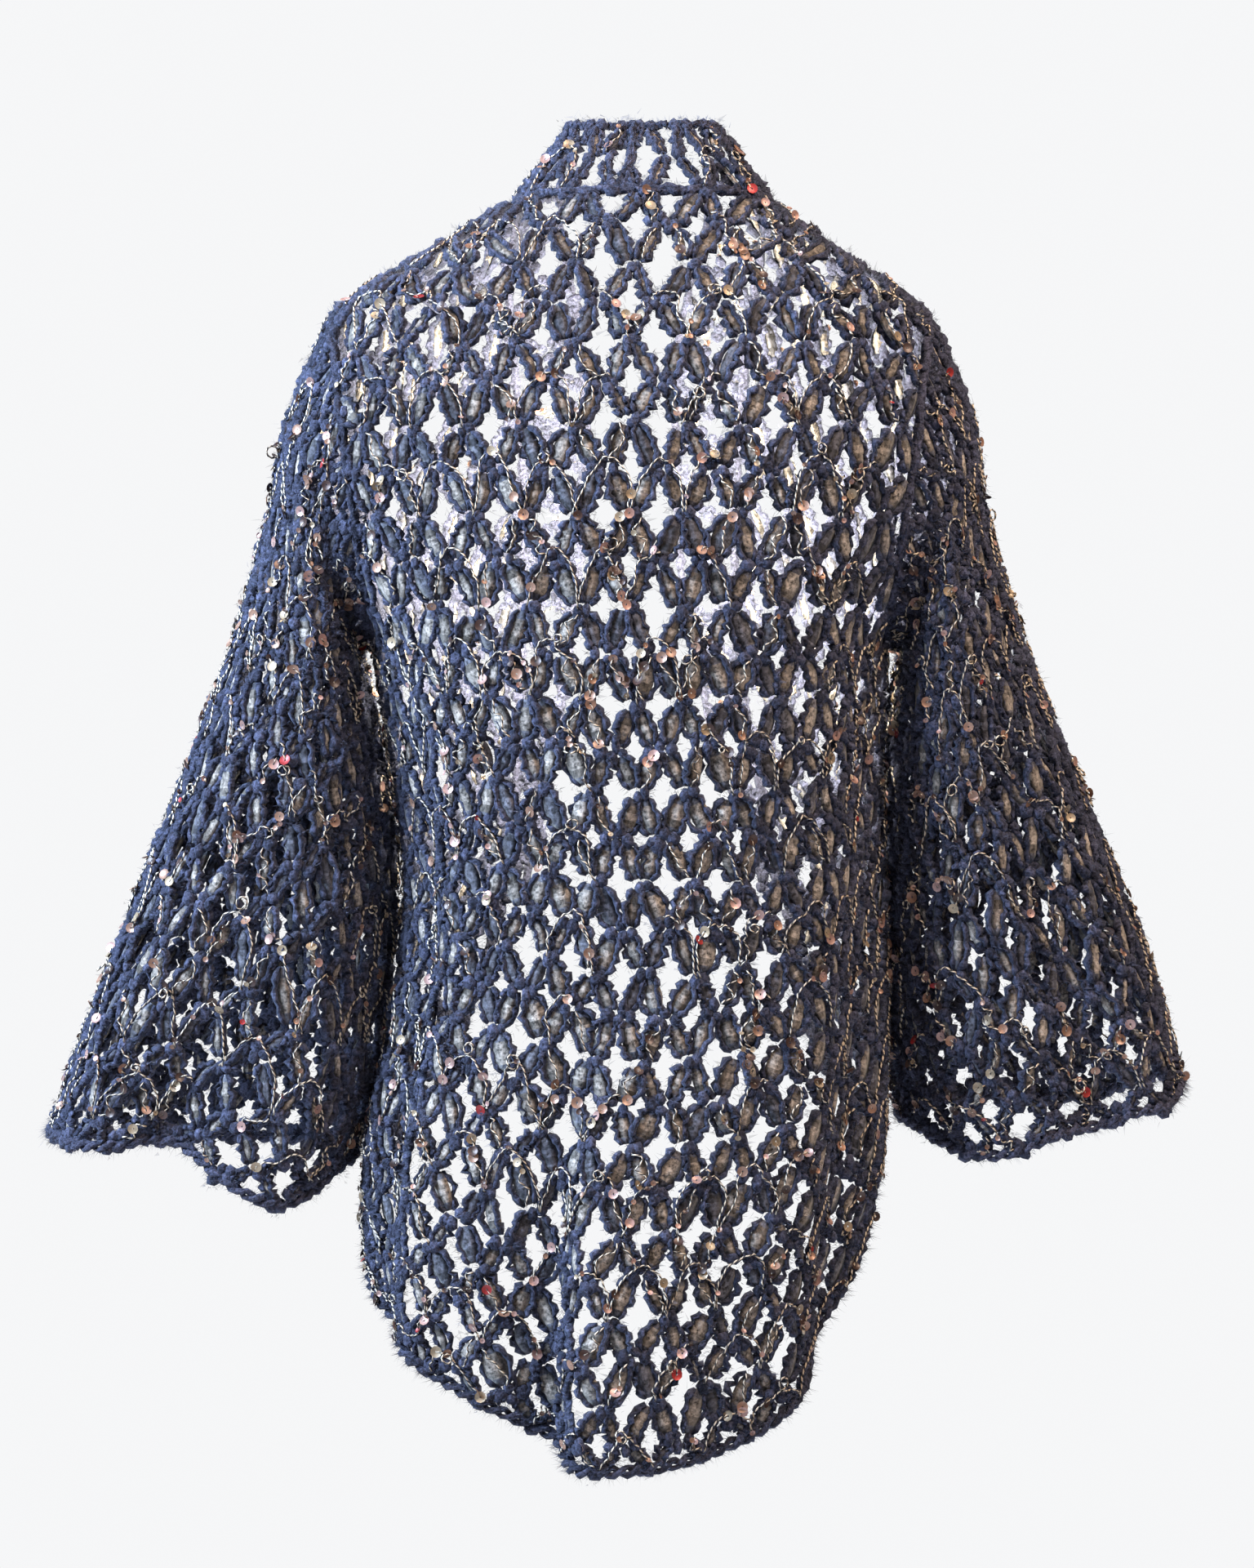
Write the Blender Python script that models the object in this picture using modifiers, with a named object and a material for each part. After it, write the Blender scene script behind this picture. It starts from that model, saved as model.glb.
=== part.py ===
"""Open-knit cardigan in the form it hangs in when worn, each cut piece a thin wall.

+Z is up, the fronts face -Y and the wearer's left is +X. The origin is on the neck's axis at the height of
the back neck seam, and a drop is a distance below that seam. All sizes are in metres.
"""

from collections import namedtuple
from math import asin, copysign, cos, exp, pi, radians, sin, sqrt

import bmesh
import bpy
import numpy as np
from mathutils import Vector

# Cloth and seams. A pull is how far an edge keeps back from its seam, so that walls that meet at an angle clear.
WALL = 0.003
SEAM_GAP = 0.0003
FLAT_PULL = 0.0003
FRONT_EDGE_PULL = 0.0008
NECK_PULL = 0.0012
ARMHOLE_PULL = 0.0011
FRONT_ARMHOLE_PULL = 0.0022
UNDERARM_PULL = 0.0024
TIP_PULL = 0.0014
EDGING_PULL = 0.0012
EDGING_RADIUS = 0.003
EDGING_GAP = 0.0006

# Cut of the body.
TIP_DROP = 0.068
TIP_X = 0.181
UNDERARM_DROP = 0.270
UNDERARM_X = 0.155
ARMHOLE_HALF_DEPTH = 0.068
HEM_DROP_CENTRE = 0.749
FRONT_HEM_RISE = 0.070
BACK_NECK_DROP = 0.0003
FRONT_NECK_DROP = 0.0060
ROUNDNESS = 2.3

# Cut of the collar, which ends on the front edge.
COLLAR_BACK_SHARE = 0.28
COLLAR_END_DROP = 0.430
COLLAR_LEAN = radians(33)
COLLAR_SEAM_ANGLE = radians(6)
COLLAR_LYING_FORWARD = 0.15
COLLAR_LYING_RISE = 0.20

# Fineness of the walls.
SECTION_STEPS = 48
BACK_COLUMNS = 20
FRONT_COLUMNS = 8
SHOULDER_ROWS = 5
LOWER_ROWS = 12
SLEEVE_COLUMNS = 24
COLLAR_COLUMNS = 3
COLLAR_ROWS = 24

ShoulderRow = namedtuple("ShoulderRow", "drop half_width")
SHOULDER = (
    ShoulderRow(0.000, 0.078),
    ShoulderRow(0.005, 0.085),
    ShoulderRow(0.020, 0.108),
    ShoulderRow(0.035, 0.132),
    ShoulderRow(0.050, 0.157),
    ShoulderRow(TIP_DROP, TIP_X),
)

SideRow = namedtuple("SideRow", "drop half_width")
SIDE = (
    SideRow(UNDERARM_DROP, UNDERARM_X),
    SideRow(0.340, 0.148),
    SideRow(0.420, 0.145),
    SideRow(0.500, 0.150),
    SideRow(0.580, 0.156),
    SideRow(0.650, 0.149),
    SideRow(0.770, 0.134),
)

# Depth of each section behind and before the shoulder line, and how far its middle hangs to the left.
DepthRow = namedtuple("DepthRow", "drop back front shift")
DEPTH = (
    DepthRow(0.000, 0.056, 0.050, -0.008),
    DepthRow(0.020, 0.065, 0.064, -0.004),
    DepthRow(TIP_DROP, 0.087, 0.090, 0.000),
    DepthRow(0.120, 0.102, 0.104, 0.000),
    DepthRow(0.180, 0.110, 0.113, 0.000),
    DepthRow(UNDERARM_DROP, 0.113, 0.119, 0.000),
    DepthRow(0.340, 0.111, 0.117, -0.004),
    DepthRow(0.420, 0.108, 0.112, -0.009),
    DepthRow(0.500, 0.109, 0.112, -0.005),
    DepthRow(0.580, 0.114, 0.113, 0.004),
    DepthRow(0.650, 0.117, 0.113, 0.010),
    DepthRow(0.770, 0.112, 0.110, 0.010),
)

FrontEdgeRow = namedtuple("FrontEdgeRow", "drop from_centre")
FRONT_EDGE = (
    FrontEdgeRow(0.000, 0.078),
    FrontEdgeRow(0.030, 0.079),
    FrontEdgeRow(0.080, 0.075),
    FrontEdgeRow(0.160, 0.069),
    FrontEdgeRow(0.260, 0.070),
    FrontEdgeRow(0.360, 0.079),
    FrontEdgeRow(0.450, 0.096),
    FrontEdgeRow(0.510, 0.112),
    FrontEdgeRow(0.580, 0.132),
)

# Back hem on each side: its drop at the side seam and how squarely it rounds up to it from centre back.
HemRow = namedtuple("HemRow", "side_drop curve")
HEM = {1: HemRow(0.640, 1.2), -1: HemRow(0.600, 2.7)}

# Folds of the back. A place across is measured along the cloth from centre back, to the left where positive.
FoldRow = namedtuple("FoldRow", "across left_width right_width depth start_drop full_drop")
BACK_FOLDS = (
    FoldRow(0.018, 0.010, 0.060, 0.019, 0.47, 0.74),
    FoldRow(0.044, 0.024, 0.016, -0.013, 0.45, 0.72),
    FoldRow(0.128, 0.026, 0.022, 0.008, 0.42, 0.66),
    FoldRow(-0.098, 0.026, 0.030, 0.007, 0.36, 0.70),
    FoldRow(-0.142, 0.018, 0.018, -0.008, 0.30, 0.60),
    FoldRow(0.150, 0.022, 0.018, -0.009, 0.22, 0.42),
    FoldRow(-0.160, 0.022, 0.022, -0.008, 0.16, 0.36),
)

# Guide lines of each sleeve from armhole to cuff: outer and inner line, and the depth on both sides of them.
SleeveRow = namedtuple("SleeveRow", "share outer_x outer_drop inner_x inner_drop middle_y back front")
ARMHOLE_RING = SleeveRow(
    0.00, TIP_X, TIP_DROP, UNDERARM_X, UNDERARM_DROP, 0.000, ARMHOLE_HALF_DEPTH, ARMHOLE_HALF_DEPTH
)
LEFT_SLEEVE = (
    ARMHOLE_RING,
    SleeveRow(0.10, 0.203, 0.118, 0.167, 0.272, -0.003, 0.061, 0.064),
    SleeveRow(0.25, 0.219, 0.185, 0.159, 0.311, -0.008, 0.066, 0.068),
    SleeveRow(0.45, 0.246, 0.278, 0.147, 0.385, -0.014, 0.069, 0.070),
    SleeveRow(0.65, 0.284, 0.375, 0.149, 0.465, -0.020, 0.070, 0.070),
    SleeveRow(0.85, 0.328, 0.487, 0.161, 0.548, -0.024, 0.069, 0.068),
    SleeveRow(1.00, 0.357, 0.566, 0.171, 0.582, -0.028, 0.066, 0.066),
)
RIGHT_SLEEVE = (
    ARMHOLE_RING,
    SleeveRow(0.10, 0.204, 0.118, 0.167, 0.272, -0.003, 0.061, 0.064),
    SleeveRow(0.25, 0.216, 0.185, 0.161, 0.310, -0.008, 0.066, 0.068),
    SleeveRow(0.45, 0.242, 0.272, 0.159, 0.378, -0.014, 0.069, 0.070),
    SleeveRow(0.65, 0.281, 0.367, 0.161, 0.450, -0.020, 0.070, 0.070),
    SleeveRow(0.85, 0.321, 0.470, 0.163, 0.520, -0.024, 0.069, 0.068),
    SleeveRow(1.00, 0.339, 0.534, 0.167, 0.556, -0.028, 0.066, 0.066),
)

# Folds down each sleeve. The angle runs from the outer line over the back to the inner line.
SleeveFoldRow = namedtuple("SleeveFoldRow", "angle width depth cuff_drop start_share")
LEFT_SLEEVE_FOLDS = (
    SleeveFoldRow(122, 20, 0.010, 0.034, 0.40),
    SleeveFoldRow(82, 18, -0.012, -0.008, 0.50),
    SleeveFoldRow(48, 22, 0.008, 0.004, 0.35),
    SleeveFoldRow(-60, 30, 0.009, 0.010, 0.30),
    SleeveFoldRow(-105, 22, -0.008, 0.000, 0.40),
)
RIGHT_SLEEVE_FOLDS = (
    SleeveFoldRow(112, 34, 0.006, 0.028, 0.35),
    SleeveFoldRow(70, 14, -0.009, 0.010, 0.20),
    SleeveFoldRow(44, 22, 0.008, 0.011, 0.30),
    SleeveFoldRow(-70, 30, 0.009, 0.012, 0.30),
    SleeveFoldRow(-112, 22, -0.008, 0.000, 0.40),
)
SLEEVE_SHARES = (0.0, 0.05, 0.1, 0.17, 0.25, 0.33, 0.41, 0.49, 0.57, 0.65, 0.73, 0.81, 0.88, 0.94, 1.0)

# Height of the collar band along its length, and how far it has turned from standing up to lying on the front.
CollarRow = namedtuple("CollarRow", "share width turn")
COLLAR = (
    CollarRow(0.00, 0.050, 0.0),
    CollarRow(0.20, 0.050, 0.0),
    CollarRow(0.32, 0.048, 0.25),
    CollarRow(0.45, 0.044, 0.80),
    CollarRow(0.60, 0.038, 1.0),
    CollarRow(0.80, 0.026, 1.0),
    CollarRow(1.00, 0.011, 1.0),
)

YARN_COLOUR = (0.045, 0.052, 0.095, 1.0)
EDGE_COLOUR = (0.022, 0.025, 0.048, 1.0)
YARN_ROUGHNESS = 0.9


def eased(rows, column, place):
    """Value of a table column at a place in the first column, on a smooth curve through the rows."""
    places = np.array([row[0] for row in rows])
    values = np.array([getattr(row, column) for row in rows])
    slopes = np.gradient(values, places)
    place = min(max(place, places[0]), places[-1])
    low = min(max(int(np.searchsorted(places, place)) - 1, 0), len(places) - 2)
    span = places[low + 1] - places[low]
    part = (place - places[low]) / span
    rest = 1 - part
    start = values[low] * (1 + 2 * part) + slopes[low] * span * part
    end = values[low + 1] * (1 + 2 * rest) - slopes[low + 1] * span * rest
    return float(start * rest**2 + end * part**2)


def ramp(value, start, full):
    """Smooth rise from 0 at start to 1 at full."""
    part = min(max((value - start) / (full - start), 0.0), 1.0)
    return part * part * (3 - 2 * part)


def armhole_edge(drop):
    """Distance from the centre and half-depth of the armhole at a drop between shoulder tip and underarm."""
    part = (drop - TIP_DROP) / (UNDERARM_DROP - TIP_DROP)
    half_depth = ARMHOLE_HALF_DEPTH * sqrt(max(1 - (2 * part - 1) ** 2, 0.0))
    return TIP_X + part * (UNDERARM_X - TIP_X), half_depth


def section(drop, facing):
    """Half-width, depth and angle of the panel's edge for the body's section at a drop."""
    depth = eased(DEPTH, facing, drop)
    if drop <= TIP_DROP:
        return eased(SHOULDER, "half_width", drop), depth, pi / 2
    if drop >= UNDERARM_DROP:
        return eased(SIDE, "half_width", drop), depth, pi / 2
    edge_x, edge_y = armhole_edge(drop)
    half_width = edge_x / (1 - (edge_y / depth) ** ROUNDNESS) ** (1 / ROUNDNESS)
    return half_width, depth, asin((edge_x / half_width) ** (ROUNDNESS / 2))


def section_point(half_width, depth, angle_range, share, pull_start, pull_end):
    """Point, outward normal and length on a stretch of a section, at a share of its length between its pulls."""
    angles = np.linspace(*angle_range, SECTION_STEPS)
    x = half_width * np.sin(angles) ** (2 / ROUNDNESS)
    y = depth * np.abs(np.cos(angles)) ** (2 / ROUNDNESS)
    lengths = np.concatenate(([0.0], np.cumsum(np.hypot(np.diff(x), np.diff(y)))))
    total = lengths[-1]
    place = pull_start + share * (total - pull_start - pull_end)
    at_x = float(np.interp(place, lengths, x))
    at_y = float(np.interp(place, lengths, y))
    steepness = ROUNDNESS - 1
    normal = Vector(((at_x / half_width) ** steepness / half_width, (at_y / depth) ** steepness / depth))
    return at_x, at_y, normal.normalized(), float(total)


def hem_drop(share):
    """Drop of the back hem, lowest at the centre and rising to the side seams."""
    hem = HEM[1 if share >= 0 else -1]
    return HEM_DROP_CENTRE - (HEM_DROP_CENTRE - hem.side_drop) * abs(share) ** hem.curve


def front_hem_drop(side, share):
    """Drop of a front's hem, rising from the side seam to the front edge."""
    return HEM[side].side_drop - FRONT_HEM_RISE * share


def level_drop(level, hem):
    """Drop of a row of cloth: levels 0 to 1 lie above the underarm, 1 to 2 between it and the hem."""
    if level <= 1:
        return level * UNDERARM_DROP
    return UNDERARM_DROP + (level - 1) * (hem - UNDERARM_DROP)


def back_fold(across, drop):
    """Outward push of the back's folds at a place across and a drop."""
    push = 0.0
    for fold in BACK_FOLDS:
        width = fold.left_width if across > fold.across else fold.right_width
        profile = exp(-(((across - fold.across) / width) ** 2))
        push += fold.depth * profile * ramp(drop, fold.start_drop, fold.full_drop)
    return push


def back_point(share, drop):
    """Point of the back at a share from -1 to 1 across it."""
    half_width, depth, edge_angle = section(drop, "back")
    side = 1 if share >= 0 else -1
    x, y, normal, length = section_point(half_width, depth, (0, edge_angle), abs(share), 0.0, FLAT_PULL)
    push = back_fold(share * length, drop)
    centre = eased(DEPTH, "shift", drop)
    return Vector((centre + side * (x + normal.x * push), y + normal.y * push, -drop))


def front_point(side, share, drop, edge_pull=FRONT_EDGE_PULL):
    """Point of a front at a share from its side seam to its front edge, which is pulled back from the collar."""
    half_width, depth, edge_angle = section(drop, "front")
    from_centre = min(eased(FRONT_EDGE, "from_centre", drop), half_width)
    front_angle = asin((from_centre / half_width) ** (ROUNDNESS / 2))
    x, y, _, _ = section_point(half_width, depth, (edge_angle, front_angle), share, FLAT_PULL, edge_pull)
    return Vector((eased(DEPTH, "shift", drop) + side * x, -y, -drop))


def sleeve_point(side, rows, folds, share, angle):
    """Point of a sleeve at a share of its length and an angle round it."""
    row = {name: eased(rows, name, share) for name in SleeveRow._fields[1:]}
    across = cos(angle)
    deep = sin(angle)
    push = 0.0
    fall = 0.0
    for fold in folds:
        turn = (angle - radians(fold.angle) + pi) % (2 * pi) - pi
        bump = exp(-((turn / radians(fold.width)) ** 2)) * ramp(share, fold.start_share, 1.0)
        push += fold.depth * bump
        fall += fold.cuff_drop * bump
    half_depth = row["back"] if deep >= 0 else row["front"]
    x = (row["outer_x"] + row["inner_x"]) / 2 + (row["outer_x"] - row["inner_x"]) / 2 * across
    drop = (row["outer_drop"] + row["inner_drop"]) / 2 + (row["outer_drop"] - row["inner_drop"]) / 2 * across
    y = row["middle_y"] + half_depth * deep
    return Vector((side * (x + push * across), y + push * deep, -drop - fall))


def sleeve_seam_point(side, rows, folds, angle):
    """First ring of a sleeve, just clear of the armhole's edge."""
    start = sleeve_point(side, rows, folds, 0.0, angle)
    ahead = sleeve_point(side, rows, folds, SLEEVE_SHARES[1], angle)
    tip = max(cos(angle), 0.0) ** 2
    under = max(-cos(angle), 0.0) ** 2
    flat = FRONT_ARMHOLE_PULL if sin(angle) < 0 else ARMHOLE_PULL
    pull = TIP_PULL * tip + UNDERARM_PULL * under + flat * (1 - tip - under)
    return start + (ahead - start).normalized() * pull


def collar_point(side, share, rise):
    """Point of a collar half at a share of its length from centre back and a share of its height."""
    width = eased(COLLAR, "width", share)
    turn = eased(COLLAR, "turn", share)
    neck_x = eased(DEPTH, "shift", 0.0)
    if share <= COLLAR_BACK_SHARE:
        half_width, depth, _ = section(0.0, "back")
        seam_angle = side * COLLAR_SEAM_ANGLE
        angle = seam_angle + (pi / 2 - seam_angle) * share / COLLAR_BACK_SHARE
        x = half_width * copysign(abs(sin(angle)) ** (2 / ROUNDNESS), angle)
        y = depth * abs(cos(angle)) ** (2 / ROUNDNESS)
        seam = Vector((neck_x + side * x, y, 0.0))
    else:
        drop = COLLAR_END_DROP * (share - COLLAR_BACK_SHARE) / (1 - COLLAR_BACK_SHARE)
        seam = front_point(side, 1.0, drop, edge_pull=0.0)
    inward = Vector((neck_x - seam.x, -seam.y, 0.0)).normalized()
    standing = Vector((0, 0, cos(COLLAR_LEAN))) + inward * sin(COLLAR_LEAN)
    lying = Vector((-side, -COLLAR_LYING_FORWARD, COLLAR_LYING_RISE)).normalized()
    direction = standing.lerp(lying, turn).normalized()
    point = seam + direction * (NECK_PULL + rise * width)
    point.x += side * SEAM_GAP * (1 - min(share / COLLAR_BACK_SHARE, 1.0))
    return point


def new_material(name, colour):
    """Matt yarn material in one colour."""
    material = bpy.data.materials.new(name)
    material.use_nodes = True
    shader = material.node_tree.nodes["Principled BSDF"]
    shader.inputs["Base Color"].default_value = colour
    shader.inputs["Roughness"].default_value = YARN_ROUGHNESS
    shader.inputs["Metallic"].default_value = 0.0
    return material


def new_object(collection, name, data, colour):
    """Object with its own material, linked to the cardigan's collection."""
    data.materials.append(new_material(name, colour))
    body = bpy.data.objects.new(name, data)
    collection.objects.link(body)
    return body


def cloth_wall(collection, name, rows, closed=False):
    """Wall of cloth through rows of points, thickened evenly to both sides."""
    mesh = bpy.data.meshes.new(name)
    surface = bmesh.new()
    grid = [[surface.verts.new(point) for point in row] for row in rows]
    for upper, lower in zip(grid, grid[1:]):
        steps = len(upper) if closed else len(upper) - 1
        for index in range(steps):
            beside = (index + 1) % len(upper)
            surface.faces.new((upper[index], lower[index], lower[beside], upper[beside]))
    surface.to_mesh(mesh)
    surface.free()
    mesh.shade_smooth()
    body = new_object(collection, name, mesh, YARN_COLOUR)
    solidify = body.modifiers.new("wall", "SOLIDIFY")
    solidify.thickness = WALL
    solidify.offset = 0.0
    return body


def route_beside(edge, inner, closed=False):
    """Route of an edging just past an edge, on the side away from the points inside it."""
    last = len(edge) - 1
    distance = EDGING_RADIUS + EDGING_GAP
    route = []
    for index, point in enumerate(edge):
        after = edge[(index + 1) % len(edge)] if closed else edge[min(index + 1, last)]
        before = edge[index - 1] if closed else edge[max(index - 1, 0)]
        along = (after - before).normalized()
        outward = point - inner[index]
        outward = (outward - along * outward.dot(along)).normalized()
        bend = (point - before).angle(after - point, 0.0)
        route.append(point + outward * distance / cos(bend / 2))
    if not closed:
        route[0] += (route[1] - route[0]).normalized() * EDGING_PULL
        route[-1] += (route[-2] - route[-1]).normalized() * EDGING_PULL
    return route


def edging(collection, name, points, closed=False):
    """Round edging that follows a route."""
    curve = bpy.data.curves.new(name, "CURVE")
    curve.dimensions = "3D"
    curve.bevel_depth = EDGING_RADIUS
    curve.bevel_resolution = 1
    curve.use_fill_caps = not closed
    route = curve.splines.new("POLY")
    route.points.add(len(points) - 1)
    for target, point in zip(route.points, points):
        target.co = (*point, 1.0)
    route.use_cyclic_u = closed
    return new_object(collection, name, curve, EDGE_COLOUR)


def row_levels(first_drop):
    """Levels of a panel's rows, with rows at the shoulder tip and the underarm."""
    tip = TIP_DROP / UNDERARM_DROP
    shoulder = np.linspace(first_drop / UNDERARM_DROP, tip, SHOULDER_ROWS + 1)[:-1]
    armhole = tip + (1 - tip) * (1 - np.cos(np.linspace(0, pi, SLEEVE_COLUMNS // 2 + 1))) / 2
    below = np.linspace(1, 2, LOWER_ROWS + 1)[1:]
    return np.concatenate((shoulder, armhole, below))


def build_back(collection):
    """Back panel with its hem edging."""
    shares = np.linspace(1, -1, BACK_COLUMNS + 1)
    hems = [hem_drop(share) for share in shares]
    rows = []
    for level in row_levels(BACK_NECK_DROP):
        rows.append([back_point(share, level_drop(level, hem)) for share, hem in zip(shares, hems)])
    cloth_wall(collection, "back", rows)
    edging(collection, "hem_edging", route_beside(rows[-1], rows[-2]))


def build_front(collection, name, side):
    """One open front with the edging along its hem and front edge."""
    shares = np.linspace(0, 1, FRONT_COLUMNS + 1)
    hems = [front_hem_drop(side, share) for share in shares]
    rows = []
    for level in row_levels(FRONT_NECK_DROP):
        rows.append([front_point(side, share, level_drop(level, hem)) for share, hem in zip(shares, hems)])
    cloth_wall(collection, f"front_{name}", rows if side > 0 else [row[::-1] for row in rows])
    free = [row for row in rows[-2::-1] if -row[-1].z > COLLAR_END_DROP + 2 * EDGING_RADIUS]
    edge = rows[-1] + [row[-1] for row in free]
    inner = rows[-2][:-1] + [rows[-2][-2]] + [row[-2] for row in free]
    edging(collection, f"front_edging_{name}", route_beside(edge, inner))


def build_sleeve(collection, name, side, rows, folds):
    """One bell sleeve from its armhole to its cuff, with the cuff's edging."""
    angles = [2 * pi * step / SLEEVE_COLUMNS * side for step in range(SLEEVE_COLUMNS)]
    rings = [[sleeve_seam_point(side, rows, folds, angle) for angle in angles]]
    for share in SLEEVE_SHARES[1:]:
        rings.append([sleeve_point(side, rows, folds, share, angle) for angle in angles])
    cloth_wall(collection, f"sleeve_{name}", rings, closed=True)
    route = route_beside(rings[-1], rings[-2], closed=True)
    edging(collection, f"cuff_edging_{name}", route, closed=True)


def build_collar(collection, name, side):
    """One half of the collar band, from the centre-back seam down its front."""
    rises = np.linspace(0, 1, COLLAR_COLUMNS + 1)
    order = rises if side > 0 else rises[::-1]
    rows = [[collar_point(side, share, rise) for rise in order] for share in np.linspace(0, 1, COLLAR_ROWS + 1)]
    cloth_wall(collection, f"collar_{name}", rows)


def build_cardigan():
    """Every piece of the cardigan in a new collection."""
    for old in list(bpy.data.objects):
        bpy.data.objects.remove(old)
    collection = bpy.data.collections.new("open_knit_cardigan")
    bpy.context.scene.collection.children.link(collection)
    build_back(collection)
    sleeves = {"left": (LEFT_SLEEVE, LEFT_SLEEVE_FOLDS), "right": (RIGHT_SLEEVE, RIGHT_SLEEVE_FOLDS)}
    for name, side in (("left", 1), ("right", -1)):
        build_front(collection, name, side)
        build_sleeve(collection, name, side, *sleeves[name])
        build_collar(collection, name, side)


build_cardigan()
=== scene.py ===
"""Looks of the open-knit cardigan: an open diamond mesh of fuzzy navy loops with twisted thread and sequins.

The frame is the part's own: +Z up, the fronts face -Y, the wearer's left is +X, and the origin is on the
neck's axis at the back neck seam. A drop is a distance below that seam. All sizes are in metres, and colours
are linear.
"""

import logging
from dataclasses import dataclass, field, replace
from enum import Enum
from math import pi, radians
from typing import NamedTuple

import bpy
import numpy as np
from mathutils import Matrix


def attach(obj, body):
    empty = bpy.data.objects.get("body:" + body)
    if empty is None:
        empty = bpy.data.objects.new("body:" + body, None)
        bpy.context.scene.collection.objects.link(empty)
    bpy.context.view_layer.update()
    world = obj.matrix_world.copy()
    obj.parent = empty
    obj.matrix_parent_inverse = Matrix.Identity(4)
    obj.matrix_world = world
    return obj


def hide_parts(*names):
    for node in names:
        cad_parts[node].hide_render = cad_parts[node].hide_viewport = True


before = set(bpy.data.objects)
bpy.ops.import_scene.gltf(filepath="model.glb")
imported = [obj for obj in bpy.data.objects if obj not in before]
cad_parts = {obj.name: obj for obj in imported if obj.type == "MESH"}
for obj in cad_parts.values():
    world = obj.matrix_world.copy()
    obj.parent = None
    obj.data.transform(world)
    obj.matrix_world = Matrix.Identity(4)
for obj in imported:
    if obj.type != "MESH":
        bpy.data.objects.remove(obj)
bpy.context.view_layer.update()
LOG = logging.getLogger("cardigan")
BODY = "root"
TONE = "tone"
UV_MAP = "UVMap"

# Guards against dividing by nothing.
LEAST_LENGTH = 1e-12
LEAST_SPAN = 1e-9
HAIR_NUDGE = 1e-6

# Cut of the body, as in the part's own solids.
TIP_DROP = 0.068
TIP_X = 0.181
UNDERARM_DROP = 0.270
UNDERARM_X = 0.155
ARMHOLE_HALF_DEPTH = 0.068
HEM_DROP_CENTRE = 0.749
FRONT_HEM_RISE = 0.070
FRONT_NECK_DROP = 0.006
ROUNDNESS = 2.3
SECTION_STEPS = 48
FLAT_CHECKS = 21

# Cut of the collar, which ends on the front edge.
COLLAR_BACK_SHARE = 0.28
COLLAR_END_DROP = 0.430
COLLAR_LEAN = radians(33)
COLLAR_SEAM_ANGLE = radians(6)
COLLAR_LYING_FORWARD = 0.15
COLLAR_LYING_RISE = 0.20
COLLAR_PULL = 0.0012
COLLAR_ROWS = 24

Colour = tuple[float, float, float]
Place = tuple[float, float, float]


class Side(Enum):
    """Side of the wearer, as the sign of X."""

    LEFT = 1
    RIGHT = -1


class Border(Enum):
    """Edge of a cut piece that carries a seam strand."""

    TOP = "top"
    BOTTOM = "bottom"
    START = "start"
    END = "end"


class WidthRow(NamedTuple):
    """Half-width of the body at a drop."""

    drop: float
    half_width: float


class DepthRow(NamedTuple):
    """Depth of the body's section behind and before the shoulder line, and its middle's shift to the left."""

    drop: float
    back: float
    front: float
    shift: float


class FrontEdgeRow(NamedTuple):
    """Distance of the front edge from the centre at a drop."""

    drop: float
    from_centre: float


class HemRow(NamedTuple):
    """Drop of the back hem at a side seam, and how squarely it rounds up to it."""

    side_drop: float
    curve: float


class FoldRow(NamedTuple):
    """A fold of the back, at a place along the cloth from centre back."""

    across: float
    left_width: float
    right_width: float
    depth: float
    start_drop: float
    full_drop: float


class SleeveRow(NamedTuple):
    """Guide lines of a sleeve at a share of its length."""

    share: float
    outer_x: float
    outer_drop: float
    inner_x: float
    inner_drop: float
    middle_y: float
    back: float
    front: float


class SleeveFoldRow(NamedTuple):
    """A fold down a sleeve, at an angle in degrees from its outer line over the back."""

    angle: float
    width: float
    depth: float
    cuff_drop: float
    start_share: float


class CollarRow(NamedTuple):
    """Height of the collar at a share of its length, and its turn from standing to lying."""

    share: float
    width: float
    turn: float


class MeshRow(NamedTuple):
    """Width and height of the mesh's diamonds at a place down a piece, from 0 to 1."""

    place: float
    width: float
    height: float


class KnotSpread(NamedTuple):
    """Where loops leave a knot, in shares of a diamond's width and of a half-row's height from its middle."""

    across: float
    down: float


class ArchRow(NamedTuple):
    """Half an arch of thread, in shares of the way from a heavy knot to the next lower one beside it."""

    share: float
    across: float
    down: float


SHOULDER = (
    WidthRow(0.000, 0.078),
    WidthRow(0.005, 0.085),
    WidthRow(0.020, 0.108),
    WidthRow(0.035, 0.132),
    WidthRow(0.050, 0.157),
    WidthRow(TIP_DROP, TIP_X),
)
SIDE_SEAM = (
    WidthRow(UNDERARM_DROP, UNDERARM_X),
    WidthRow(0.340, 0.148),
    WidthRow(0.420, 0.145),
    WidthRow(0.500, 0.150),
    WidthRow(0.580, 0.156),
    WidthRow(0.650, 0.149),
    WidthRow(0.770, 0.134),
)
DEPTH = (
    DepthRow(0.000, 0.056, 0.050, -0.008),
    DepthRow(0.020, 0.065, 0.064, -0.004),
    DepthRow(TIP_DROP, 0.087, 0.090, 0.000),
    DepthRow(0.120, 0.102, 0.104, 0.000),
    DepthRow(0.180, 0.110, 0.113, 0.000),
    DepthRow(UNDERARM_DROP, 0.113, 0.119, 0.000),
    DepthRow(0.340, 0.111, 0.117, -0.004),
    DepthRow(0.420, 0.108, 0.112, -0.009),
    DepthRow(0.500, 0.109, 0.112, -0.005),
    DepthRow(0.580, 0.114, 0.113, 0.004),
    DepthRow(0.650, 0.117, 0.113, 0.010),
    DepthRow(0.770, 0.112, 0.110, 0.010),
)
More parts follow.
